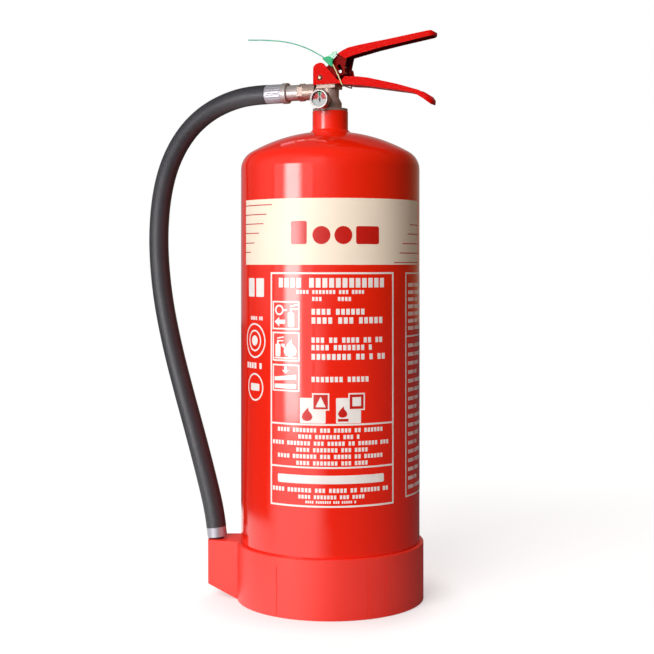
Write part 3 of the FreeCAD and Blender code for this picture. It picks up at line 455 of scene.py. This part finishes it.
# Two white cards under them carry a flame and a small box with a plain shape.
panel += [bar(-29.3, -4.7, 185, 209, 1), bar(5.2, 29.3, 185, 209, 1)]
printed("print_white_panel", panel, ink_rise, white_ink)
printed("print_class_boxes", [bar(-17.5, -1.2, 197.2, 213.5), bar(16.9, 33.2, 197.2, 213.5)],
        box_rise, white_ink, sunk=0)
printed("print_pictures", [flame(-22.5, 187, 13), bar(-16.2, -2.5, 198.5, 212.2),
                           flame(11.4, 190.4, 11), bar(7, 17, 186.8, 189.4),
                           bar(18.2, 31.9, 198.5, 212.2)], mark_rise, red_ink, sunk=0)
printed("print_class_marks", [[(-14.2, 200.4), (-4.5, 200.4), (-9.35, 210.4)],
                              bar(20.8, 29.3, 201.1, 209.6)], top_rise, white_ink, sunk=0)

# The right side has a framed panel with a short and a long block of rows of uneven length, and the
# left side two small boxes above two plain rings.
side_left, side_right, side_row = 90, 133, 3.6
side_panel = box_line(84.7, 138, 109, 327, 1.5) + [bar(86.2, 136.5, 264.3, 265.7)]
for count, top, pitch, shorter, cycle in ((7, 313, 7, 9, 3), (17, 254, 8.6, 7, 4)):
    for n in range(count):
        side_panel += block_row(side_left, side_right - shorter * (n % cycle), top - pitch * n,
                                side_row)
side_panel += [bar(-97.5, -86.2, 303.5, 321.5, 1), bar(-83, -71, 303.5, 321.5, 1)]
side_panel += block_row(-93, -72.5, 281, 3.5) + hoop(-85.8, 261, 17, 1.6)
side_panel += hoop(-85.8, 261, 10.5, 1.6) + [disc(-85.8, 261, 5)]
side_panel += block_row(-101, -71, 234, 5.5) + hoop(-85.5, 216, 13.5, 1.6)
side_panel += [bar(-93, -78, 212.5, 219.5, 1)]
printed("print_side_panels", side_panel, ink_rise, white_ink)


# ---- Boot ----
# One injection moulding in polypropylene that the cylinder stands in, with the nozzle's holder on
# its left side. Its satin skin has a fine spark grain and shows three mould lines.
soft_corner = math.radians(38)


def dress(name, material, edge=0.0):
    """Puts a finish on a CAD node, and eases its edges by a radius in mm."""
    node = cad[name]
    for slot in node.material_slots:
        slot.material = material
    if edge:
        easing = node.modifiers.new("eased_edges", "BEVEL")
        easing.width = edge * mm
        easing.segments = 2
        easing.limit_method = "ANGLE"
        easing.angle_limit = soft_corner
        easing.harden_normals = True
        easing.use_clamp_overlap = True


polypropylene, tree, shader = surface("moulded_polypropylene", "#F62E1F", Roughness=0.45, IOR=1.75)
mottle(tree, shader, 45, "#F2291B", "#FA3222")
grain(tree, shader, 0.8, 0.02)
dress("base_boot", polypropylene, 0.8)


# ---- Hanger ----
# A pressed steel strap, bent proud of the cylinder and welded to its back before coating, so that
# one coat covers both. Its slot takes the wall hook.
dress("hanger_bracket", red_enamel, 0.8)


# ---- Nozzle and ferrules ----
# A moulded nylon nozzle stands in the boot's holder. A plain aluminium ferrule is crimped on the
# hose above it, and a fluted one on the hose's other end, at the outlet.
ferrule_radius = 9.9
ferrule_wall = 1.2
ferrule_length = 18.8
ferrule_start = 51.7
ferrule_edge = 0.5
outlet_height = 510.0
plain_end = 2.2
flute_count = 22
flute_steps = 8
flute_depth = 0.3
grip_steps = 12

# Moulded nylon: near black and dull, with the fine grain of the tool.
nylon, tree, shader = surface("moulded_nylon", "#26262A", Roughness=0.45)
mottle(tree, shader, 8, "#222226", "#2C2C31")
grain(tree, shader, 0.6, 0.02)
dress("spray_nozzle", nylon, 0.4)

# Drawn aluminium: pale, a little blue, with a soft shine that changes over a few millimetres.
aluminium, tree, shader = surface("drawn_aluminium", "#B3B0B9", Metallic=0.55, Roughness=0.34)
mottle(tree, shader, 6, "#AAA7B0", "#BDBAC3")
dull(tree, shader, 4, 0.3, 0.38)
dress("lower_ferrule", aluminium, 0.5)

ferrule_bore = ferrule_radius - ferrule_wall
grip_length = ferrule_length - 2 * plain_end
crimp = ([(0, ferrule_length - ferrule_wall), (ferrule_bore, ferrule_length - ferrule_wall),
          (ferrule_bore, 0), (ferrule_radius - ferrule_edge, 0), (ferrule_radius, ferrule_edge)]
         + [(ferrule_radius, plain_end + grip_length * i / grip_steps)
            for i in range(grip_steps + 1)]
         + [(ferrule_radius, ferrule_length - ferrule_edge),
            (ferrule_radius - ferrule_edge, ferrule_length), (0, ferrule_length)])
crimp_vertices, crimp_faces = turned(crimp, flute_count * flute_steps)
along_outlet = (Matrix.Translation((-ferrule_start, 0, outlet_height))
                @ Matrix.Rotation(math.radians(-90), 4, "Y"))
for i, place in enumerate(crimp_vertices):
    outside = place.xy.length > ferrule_radius - hair
    if outside and plain_end < place.z < ferrule_length - plain_end:
        dip = flute_depth * (1 - math.cos(flute_count * math.atan2(place.y, place.x))) / 2
        place.xy *= 1 - dip / ferrule_radius
    crimp_vertices[i] = along_outlet @ place
place_mesh("ferrule_crimped", crimp_vertices, crimp_faces, aluminium, slot="aluminium_ferrule",
           instead=["upper_ferrule"])


# ---- Valve ----
# Hot-stamped brass under a thin nickel plate. The stamped body is warm and slightly matt, and the
# turned hose tail is paler and brighter.
nickel, tree, shader = surface("nickel_plated_brass", "#A99388", Metallic=0.42, Roughness=0.32)
mottle(tree, shader, 5, "#9D877C", "#B49F94")
dull(tree, shader, 3, 0.28, 0.36)
grain(tree, shader, 1.2, 0.004)
dress("valve_body", nickel, 0.35)
dress("gland_nut", nickel, 0.2)
dress("outlet_nut", nickel, 0.3)
turned_nickel, tree, shader = surface("turned_nickel_plate", "#B8ABAB", Metallic=0.55,
                                      Roughness=0.36)
mottle(tree, shader, 4, "#AFA4A1", "#C2B7B4")
dress("hose_tail", turned_nickel, 0.3)


# ---- Gauge ----
# A small brass pressure gauge, screwed into the valve's boss. It has a turned and polished bezel, a
# printed dial behind a clear window, and a needle that stands over the green sector.
gauge_height = 498.7
dial_face = 26.8
dial_ink = 0.06
tick_ink = 0.11
sector_inner = 2.6
green_inner = 3.4
sector_outer = 7.9
tick_inner = 6.4
tick_outer = 8.3
tick_half = 1.2
sector_step = 6

# Polished plate: grey, with a fairly sharp shine.
polished, tree, shader = surface("polished_bezel", "#A8A09C", Metallic=0.6, Roughness=0.28)
mottle(tree, shader, 4, "#978F8C", "#ABA4A1")
dress("gauge_case", polished)

# Dial enamel: a soft pale grey with hardly any gloss. The needle's lacquer is near black.
dial_white, tree, shader = surface("dial_enamel", "#B6BAB8", Roughness=0.6,
                                   Specular_IOR_Level=0.1)
mottle(tree, shader, 3, "#B0B5B3", "#BDC1BF")
dress("gauge_dial", dial_white)
needle_black, tree, shader = surface("needle_lacquer", "#1C1C1E", Roughness=0.4)
mottle(tree, shader, 2, "#18181A", "#242427")
dress("gauge_needle", needle_black)

# Clear polycarbonate: a faint shine only. Light for the dial passes it as if it weren't there.
clear, tree, shader = surface("clear_polycarbonate", "#FFFFFF", Roughness=0.03, IOR=1.17,
                              Transmission_Weight=1.0)
grain(tree, shader, 5, 0.002)
paths = add(tree, "LightPath")
window = add(tree, "Math", {0: paths.outputs["Is Shadow Ray"],
                            1: paths.outputs["Is Diffuse Ray"]}, operation="MAXIMUM")
through = add(tree, "BsdfTransparent")
either = add(tree, "MixShader", {0: window.outputs[0], 1: shader.outputs[0],
                                 2: through.outputs[0]})
tree.links.new(either.outputs[0], tree.nodes["Material Output"].inputs["Surface"])
dress("gauge_lens", clear)


def dial_band(inner, outer, start, end, thick):
    """A sector printed on the dial, as a thin closed plate."""
    steps = max(2, int(abs(end - start) / sector_step))
    ring = (arc((0, gauge_height), outer, start, end, steps)
            + arc((0, gauge_height), inner, end, start, steps))
    count = len(ring)
    vertices = [(x, -dial_face, z) for x, z in ring]
    vertices += [(x, -dial_face - thick, z) for x, z in ring]
    faces = []
    for i in range(steps):
        a, b = i, i + 1
        c, d = count - 2 - i, count - 1 - i
        faces += [(a, b, c, d), (d + count, c + count, b + count, a + count)]
    faces += [(i, (i + 1) % count, (i + 1) % count + count, i + count)[::-1] for i in range(count)]
    return vertices, faces


def joined(parts):
    """Several lists of vertices and faces as one."""
    vertices, faces = [], []
    for part_vertices, part_faces in parts:
        faces += [tuple(i + len(vertices) for i in face) for face in part_faces]
        vertices += part_vertices
    return vertices, faces


# Pad-printed inks: a deep red each side, and green over the middle where the needle rests.
gauge_red, tree, shader = surface("gauge_red_ink", "#96161F", Roughness=0.4)
mottle(tree, shader, 2, "#8C141C", "#A01A24")
gauge_green, tree, shader = surface("gauge_green_ink", "#1E8A4C", Roughness=0.4)
mottle(tree, shader, 2, "#1B8046", "#229556")
place_mesh("gauge_red_sectors", *joined([
    dial_band(sector_inner, sector_outer, start, end, dial_ink)
    for start, end in ((112, 178), (2, 68))]), gauge_red, slot="dial_print")
place_mesh("gauge_green_sector", *dial_band(green_inner, sector_outer, 77, 103, dial_ink),
           gauge_green, slot="dial_print")
place_mesh("gauge_ticks", *joined([
    dial_band(tick_inner, tick_outer, angle - tick_half, angle + tick_half, tick_ink)
    for angle in (0, 22.5, 45, 68.5, 90, 111.5, 135, 157.5, 180)]), needle_black,
    slot="needle_paint")


# ---- Levers ----
# Two folded 2 mm steel channels, coated red and then hinged on a zinc-plated rivet. Their coat
# carries painted shade: a dark red inside the channels, under them and beside the lever's neck,
# where shade falls.
channel_middle = 2 * mm
lever_neck_half = 10.2 * mm
lever_neck_fade = 0.15 * mm
lever_neck_end = 30 * mm
no_neck = -1.0  # further back than the handle reaches

# Powder coat again, in a deeper red and with little gloss on such small folded sheet.
lever_coats = []
# Each coat has a name, the dark red of its painted shade, and where the painted shade by the neck
# ends.
for name, painted_shade_red, neck_end in (("handle_powder_coat", "#B0100A", no_neck),
                                  ("lever_powder_coat", "#7A0A07", lever_neck_end)):
    coat, tree, shader = surface(name, "#D00D07", Roughness=0.35, IOR=1.5,
                                 Specular_IOR_Level=0.05)
    mottle(tree, shader, 20, "#CC0C06", "#D6110B")
    dull(tree, shader, 8, 0.3, 0.4)
    grain(tree, shader, 1.6, 0.006)
    tones = shader.inputs["Base Color"].links[0].from_socket
    # Painted shade: the base colour turns dark red on faces that look into the channel or down, and
    # on the lever beside its neck.
    local = add(tree, "TexCoord")
    place = add(tree, "SeparateXYZ", {0: local.outputs["Object"]})
    facing = add(tree, "SeparateXYZ", {0: local.outputs["Normal"]})
    inward = add(tree, "Math", {0: place.outputs[1], 1: facing.outputs[1]}, operation="MULTIPLY")
    inward = add(tree, "Math", {0: inward.outputs[0], 1: -channel_middle}, operation="LESS_THAN")
    under = add(tree, "Math", {0: facing.outputs[2], 1: -0.5}, operation="LESS_THAN")
    across = add(tree, "Math", {0: place.outputs[1]}, operation="ABSOLUTE")
    neck = add(tree, "MapRange", {"Value": across.outputs[0],
                                  "From Min": lever_neck_half + lever_neck_fade,
                                  "From Max": lever_neck_half})
    start = add(tree, "Math", {0: place.outputs[0], 1: neck_end}, operation="LESS_THAN")
    neck = add(tree, "Math", {0: neck.outputs[0], 1: start.outputs[0]}, operation="MULTIPLY")
    level = add(tree, "MapRange", {"Value": facing.outputs[2], "From Min": 0.35, "From Max": 0.1})
    neck = add(tree, "Math", {0: neck.outputs[0], 1: level.outputs[0]}, operation="MULTIPLY")
    # The mask thin gathers these places of painted shade.
    thin = add(tree, "Math", {0: inward.outputs[0], 1: under.outputs[0]}, operation="MAXIMUM")
    thin = add(tree, "Math", {0: thin.outputs[0], 1: neck.outputs[0]}, operation="MAXIMUM")
    final = add(tree, "Mix", {"Factor": thin.outputs[0], 6: tones, 7: shade(painted_shade_red)},
                data_type="RGBA")
    tree.links.new(final.outputs[2], shader.inputs["Base Color"])
    lever_coats.append(coat)
dress("carry_handle", lever_coats[0], 0.6)
dress("operating_lever", lever_coats[1], 0.6)

# Zinc plate, passivated: bright, with a yellowish cast.
zinc, tree, shader = surface("zinc_plated_steel", "#B9AC90", Metallic=1.0, Roughness=0.2)
mottle(tree, shader, 3, "#AEA185", "#C4B89E")
dress("lever_pivot", zinc, 0.25)
dress("valve_stem", zinc, 0.2)


# ---- Safety pin, pull ring and seal ----
# Bright drawn wire for the pin and its ring. The seal is a green clip with a pale strap round the
# handle and a thin tail left as it was pulled through.
wire, tree, shader = surface("bright_drawn_wire", "#BDB9B5", Metallic=1.0, Roughness=0.22)
mottle(tree, shader, 3, "#B0ACA8", "#C8C4C0")
dress("safety_pin", wire, 0.2)
dress("pull_ring", wire)

# Moulded polyethylene: waxy and slightly shiny, and paler where it is drawn or moulded thin.
green, tree, shader = surface("green_polyethylene", "#0F9B63", Roughness=0.36)
mottle(tree, shader, 4, "#0C8C58", "#14A86D")
dress("seal_lock", green)
pale, tree, shader = surface("pale_polyethylene", "#D8C38E", Roughness=0.35)
mottle(tree, shader, 4, "#CDB67E", "#E0CD9C")
dress("seal_strap", pale)
tail_plastic, tree, shader = surface("drawn_polyethylene", "#4DB392", Roughness=0.35)
mottle(tree, shader, 10, "#3FA986", "#5DBB9C")
dress("seal_tail", tail_plastic)
tab_plastic, tree, shader = surface("thin_polyethylene_tab", "#A9D8BE", Roughness=0.4)
mottle(tree, shader, 4, "#9FCFB4", "#B6E0C8")


def flat_plate(outline, y0, y1):
    """A closed plate from an outline of (x, z) places in mm."""
    count = len(outline)
    vertices = [(x, y0, z) for x, z in outline] + [(x, y1, z) for x, z in outline]
    faces = [tuple(range(count)), tuple(range(2 * count - 1, count - 1, -1))]
    faces += [(i, i + count, (i + 1) % count + count, (i + 1) % count) for i in range(count)]
    return vertices, faces


tab_front = -14.0
tab_thick = 0.6
tab_outline = ((1.5, 541.6), (4.5, 540.6), (8.8, 540.2), (13.2, 545.9), (12.6, 547.9),
               (8.0, 546.6))
place_mesh("seal_tab", *flat_plate(tab_outline, tab_front, tab_front + tab_thick), tab_plastic,
           slot="green_plastic")


# ---- Inside ----
# What the cylinder and valve enclose: the foam solution, the dip tube and its strainer, the spring
# and its seat, the gauge's tube and the rubber seals.
# The moulded seals are matt black, the PVC tube and strainer off-white, and the foam a pale amber.
seal_rubber, tree, shader = surface("nitrile_rubber", "#1B1B1C", Roughness=0.5)
mottle(tree, shader, 3, "#171718", "#232324")
for name in ("neck_o_ring", "gland_o_ring", "poppet_seal", "outlet_o_ring"):
    dress(name, seal_rubber)
tube_plastic, tree, shader = surface("extruded_pvc", "#E9E6DF", Roughness=0.4)
mottle(tree, shader, 20, "#E2DFD6", "#EFEDE7")
for name in ("dip_tube", "strainer"):
    dress(name, tube_plastic)
for name in ("spring_seat", "bourdon_tube"):
    dress(name, nickel)
foam, tree, shader = surface("foam_solution", "#D9C79A", Roughness=0.15)
mottle(tree, shader, 40, "#D2BF8E", "#E0D0A6")
dress("foam_charge", foam)


# ---- Valve spring ----
# Four turns of 0.9 mm spring steel wire, coiled between the seat and the stem, and drawn as they
# stand at rest, though in the valve they close up as the stem comes down.
spring_radius = 4.2
wire_radius = 0.45
spring_turns = 4
coil_steps = 28
wire_steps = 10

# Spring steel: grey, with the shine of drawn wire.
spring_wire, tree, shader = surface("spring_steel", "#8F8D8C", Metallic=1.0, Roughness=0.3)
mottle(tree, shader, 3, "#858382", "#999796")
dress("stem_spring", spring_wire)

spring_ends = [place[2] / mm for place in cad["stem_spring"].bound_box]
spring_foot, spring_top = min(spring_ends), max(spring_ends)
coil_rise = spring_top - spring_foot - 2 * wire_radius
coil_vertices, coil_faces = [], []
for i in range(spring_turns * coil_steps + 1):
    turn = 2 * math.pi * i / coil_steps
    height = spring_foot + wire_radius + coil_rise * i / (spring_turns * coil_steps)
    for k in range(wire_steps):
        round_wire = 2 * math.pi * k / wire_steps
        reach = spring_radius + wire_radius * math.cos(round_wire)
        coil_vertices.append((reach * math.cos(turn), reach * math.sin(turn),
                              height + wire_radius * math.sin(round_wire)))
for i in range(spring_turns * coil_steps):
    for k in range(wire_steps):
        a, b = i * wire_steps + k, i * wire_steps + (k + 1) % wire_steps
        coil_faces.append((a, a + wire_steps, b + wire_steps, b))
coil_faces.append(tuple(range(wire_steps)))
coil_faces.append(tuple(range(len(coil_vertices) - 1, len(coil_vertices) - 1 - wire_steps, -1)))
coil = place_mesh("valve_spring", coil_vertices, coil_faces, spring_wire, slot="steel_wire",
                  instead=["stem_spring"])
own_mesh(coil)


# ---- Lamps ----
# A big softbox to the left of the camera and a weaker one for the back. The gloss sees the first
# as a tall cloth with a brighter middle, and neither lamp itself.
lamp_target = (0, 0, 0.3)
# Where the cloth is at full strength, as shares of its width and height and of its middle's width.
full_side = 0.44
full_end = 0.49
full_core = 0.2


def aim(thing, place, target):
    """Puts a lamp or card at a place, turned to a target."""
    thing.location = Vector(place)
    thing.rotation_mode = "QUATERNION"
    thing.rotation_quaternion = (Vector(target) - Vector(place)).to_track_quat("-Z", "Y")


def round_stand(bearing, distance, height):
    """A place round the cylinder; bearing 0 is the camera's side and 90 its right."""
    angle = front_turn + math.radians(bearing)
    return distance * math.sin(angle), -distance * math.cos(angle), height


def softbox(name, bearing, distance, height, width, tall, watts):
    """A cloth-fronted lamp, aimed at the middle of the cylinder."""
    lamp = bpy.data.lights.new(name, "AREA")
    lamp.shape = "RECTANGLE"
    lamp.size = width
    lamp.size_y = tall
    lamp.energy = watts
    holder = bpy.data.objects.new(name, lamp)
    bpy.context.collection.objects.link(holder)
    aim(holder, round_stand(bearing, distance, height), lamp_target)
    holder.visible_camera = False
    holder.visible_glossy = False


def glow_card(name, bearing, distance, height, width, tall, panel, core, core_width):
    """The softbox's face as the gloss sees it: an even cloth with a brighter middle."""
    mesh = bpy.data.meshes.new(name)
    mesh.from_pydata([(x * width / 2, y * tall / 2, 0) for x, y in
                      ((-1, -1), (1, -1), (1, 1), (-1, 1))], [], [(0, 1, 2, 3)])
    made = bpy.data.objects.new(name, mesh)
    bpy.context.collection.objects.link(made)
    aim(made, round_stand(bearing, distance, height), (0, 0, height))
    cloth = bpy.data.materials.new(name)
    cloth.use_nodes = True
    tree = cloth.node_tree
    tree.nodes.remove(tree.nodes["Principled BSDF"])
    axes = add(tree, "SeparateXYZ", {0: add(tree, "TexCoord").outputs["Object"]})
    side = add(tree, "Math", {0: axes.outputs[0]}, operation="ABSOLUTE")
    rise = add(tree, "Math", {0: axes.outputs[1]}, operation="ABSOLUTE")
    even = add(tree, "MapRange", {"Value": side.outputs[0], "From Min": width / 2,
                                  "From Max": width * full_side, "To Max": panel})
    hot = add(tree, "MapRange", {"Value": side.outputs[0], "From Min": core_width / 2,
                                 "From Max": core_width * full_core, "To Max": core},
              interpolation_type="SMOOTHSTEP")
    both = add(tree, "Math", {0: even.outputs[0], 1: hot.outputs[0]}, operation="ADD")
    fade = add(tree, "MapRange", {"Value": rise.outputs[0], "From Min": tall / 2,
                                  "From Max": tall * full_end})
    power = add(tree, "Math", {0: both.outputs[0], 1: fade.outputs[0]}, operation="MULTIPLY")
    glow = add(tree, "Emission", {"Strength": power.outputs[0]})
    tree.links.new(glow.outputs[0], tree.nodes["Material Output"].inputs["Surface"])
    mesh.materials.append(cloth)
    for kind in ("camera", "diffuse", "transmission", "shadow", "volume_scatter"):
        setattr(made, "visible_" + kind, False)


softbox("key_softbox", bearing=-27, distance=1.7, height=1.15, width=1.2, tall=1.1, watts=36)
softbox("back_softbox", bearing=165, distance=1.8, height=0.9, width=1.2, tall=1.2, watts=16)
glow_card("key_reflection", bearing=-47.5, distance=1.6, height=0.335, width=1.7, tall=0.68,
          panel=1.2, core=8.4, core_width=0.8)


# ---- Paper floor ----
# A wide sheet of matt white paper. It keeps the object's shadow near the middle, with a painted
# contact shadow close round the boot, turns to plain white further out, and lies a hair below the
# boot.
floor_radius = 6.0
floor_sides = 72
floor_drop = 0.0004

floor_mesh = bpy.data.meshes.new("paper_floor")
rim = [(floor_radius * math.cos(2 * math.pi * i / floor_sides),
        floor_radius * math.sin(2 * math.pi * i / floor_sides), -floor_drop)
       for i in range(floor_sides)]
floor_mesh.from_pydata(rim, [], [tuple(range(floor_sides))])
floor = bpy.data.objects.new("paper_floor", floor_mesh)
bpy.context.collection.objects.link(floor)
paper, tree, shader = surface("white_paper", "#C8C8C8", Roughness=0.9, Specular_IOR_Level=0.0)
lights = add(tree, "LightPath")
seen = add(tree, "Math", {0: lights.outputs["Is Camera Ray"], 1: lights.outputs["Is Glossy Ray"]},
           operation="MAXIMUM")
seen = add(tree, "Math", {0: seen.outputs[0], 1: lights.outputs["Is Transmission Ray"]},
           operation="MAXIMUM")

# To the eye the lit paper gets a lift that makes it white. There is less of it close round the boot,
# which paints a contact shadow there.
spot = add(tree, "TexCoord").outputs["Object"]
middle = add(tree, "VectorMath", {0: spot}, operation="LENGTH")
lift = add(tree, "MapRange", {"Value": middle.outputs["Value"], "From Min": 0.1, "From Max": 0.14,
                              "To Min": 0.44, "To Max": 0.57})
lift = add(tree, "Math", {0: seen.outputs[0], 1: lift.outputs[0]}, operation="MULTIPLY")
lit = add(tree, "Emission", {"Strength": lift.outputs[0]})
paper_near = add(tree, "AddShader", {0: shader.outputs[0], 1: lit.outputs[0]})
white = add(tree, "Emission", {"Strength": seen.outputs[0]})
far = add(tree, "MapRange", {"Value": middle.outputs["Value"], "From Min": 0.45, "From Max": 1.1},
          interpolation_type="SMOOTHSTEP")
paper_all = add(tree, "MixShader", {0: far.outputs[0], 1: paper_near.outputs[0],
                                    2: white.outputs[0]})

# The gloss sees a pool of lit paper towards the key softbox and one close by on the left, which
# pale the coat near the boot. The rest of the floor is dim to it.
way = add(tree, "VectorMath", {0: spot}, operation="NORMALIZE")
toward = add(tree, "VectorMath", {0: way.outputs[0], 1: round_stand(-42, 1, 0)},
             operation="DOT_PRODUCT")
pool = add(tree, "MapRange", {"Value": toward.outputs["Value"], "From Min": 0.74,
                              "From Max": 0.96, "To Min": 0.08, "To Max": 1.4},
           interpolation_type="SMOOTHSTEP")
aside = add(tree, "VectorMath", {0: way.outputs[0], 1: round_stand(-90, 1, 0)},
            operation="DOT_PRODUCT")
aside = add(tree, "MapRange", {"Value": aside.outputs["Value"], "From Min": -0.1, "From Max": 0.4})
near = add(tree, "MapRange", {"Value": middle.outputs["Value"], "From Min": 0.56,
                              "From Max": 0.46, "To Max": 1.2}, interpolation_type="SMOOTHSTEP")
near = add(tree, "Math", {0: near.outputs[0], 1: aside.outputs[0]}, operation="MULTIPLY")
pool = add(tree, "Math", {0: pool.outputs[0], 1: near.outputs[0]}, operation="MAXIMUM")
pool = add(tree, "Emission", {"Strength": pool.outputs[0]})
paper_all = add(tree, "MixShader", {0: lights.outputs["Is Glossy Ray"], 1: paper_all.outputs[0],
                                    2: pool.outputs[0]})
tree.links.new(paper_all.outputs[0], tree.nodes["Material Output"].inputs["Surface"])
floor_mesh.materials.append(paper)


# ---- Studio room ----
# Plain white to the eye and through the window. The gloss sees a dim room instead, paler behind
# the object and towards the key softbox.
world = bpy.data.worlds.new("white_studio")
world.use_nodes = True
tree = world.node_tree
background = tree.nodes["Background"]
lights = add(tree, "LightPath")
sight = add(tree, "TexCoord").outputs["Generated"]
behind = add(tree, "VectorMath", {0: sight, 1: round_stand(180, 1, 0)}, operation="DOT_PRODUCT")
sweep = add(tree, "MapRange", {"Value": behind.outputs["Value"], "From Min": 0.35,
                               "From Max": 0.9, "To Max": 0.5}, interpolation_type="SMOOTHSTEP")
rise = add(tree, "SeparateXYZ", {0: sight})
ceiling = add(tree, "MapRange", {"Value": rise.outputs[2], "From Min": 0.5, "From Max": 0.25})
sweep = add(tree, "Math", {0: sweep.outputs[0], 1: ceiling.outputs[0]}, operation="MULTIPLY")
leftward = add(tree, "VectorMath", {0: sight, 1: round_stand(-90, 1, 0)}, operation="DOT_PRODUCT")
shy = add(tree, "MapRange", {"Value": leftward.outputs["Value"], "From Min": 0.0,
                             "From Max": 0.3, "To Min": 0.6, "To Max": 0.35})
sweep = add(tree, "Math", {0: sweep.outputs[0], 1: shy.outputs[0]}, operation="MULTIPLY")
keyward = add(tree, "VectorMath", {0: sight, 1: round_stand(-50, 1, 0)}, operation="DOT_PRODUCT")
spill = add(tree, "MapRange", {"Value": keyward.outputs["Value"], "From Min": 0.3,
                               "From Max": 1.0, "To Min": 0.12, "To Max": 0.6},
            interpolation_type="SMOOTHSTEP")
gloss = add(tree, "Math", {0: sweep.outputs[0], 1: spill.outputs[0]}, operation="ADD")

# The fill that lights the matt faces falls off to the right and turns warm there.
fill = add(tree, "MapRange", {"Value": leftward.outputs["Value"], "From Min": -0.8,
                              "From Max": 0.8, "To Min": 0.1, "To Max": 0.52})
ambient = add(tree, "Mix", {"Factor": lights.outputs["Is Glossy Ray"], "A": fill.outputs[0],
                            "B": gloss.outputs[0]})
seen = add(tree, "Math", {0: lights.outputs["Is Camera Ray"],
                          1: lights.outputs["Is Transmission Ray"]}, operation="MAXIMUM")
level = add(tree, "Mix", {"Factor": seen.outputs[0], "A": ambient.outputs[0], "B": 1.0})
warmth = add(tree, "MapRange", {"Value": leftward.outputs["Value"], "From Min": 0.1,
                                "From Max": -0.7})
hue = add(tree, "Mix", {"Factor": warmth.outputs[0], 6: (1, 1, 1, 1), 7: shade("#F0B884")},
          data_type="RGBA")
hue = add(tree, "Mix", {"Factor": seen.outputs[0], 6: hue.outputs[2], 7: (1, 1, 1, 1)},
          data_type="RGBA")
tree.links.new(hue.outputs[2], background.inputs["Color"])
tree.links.new(level.outputs[0], background.inputs["Strength"])
bpy.context.scene.world = world
bpy.context.scene.view_settings.view_transform = "Standard"
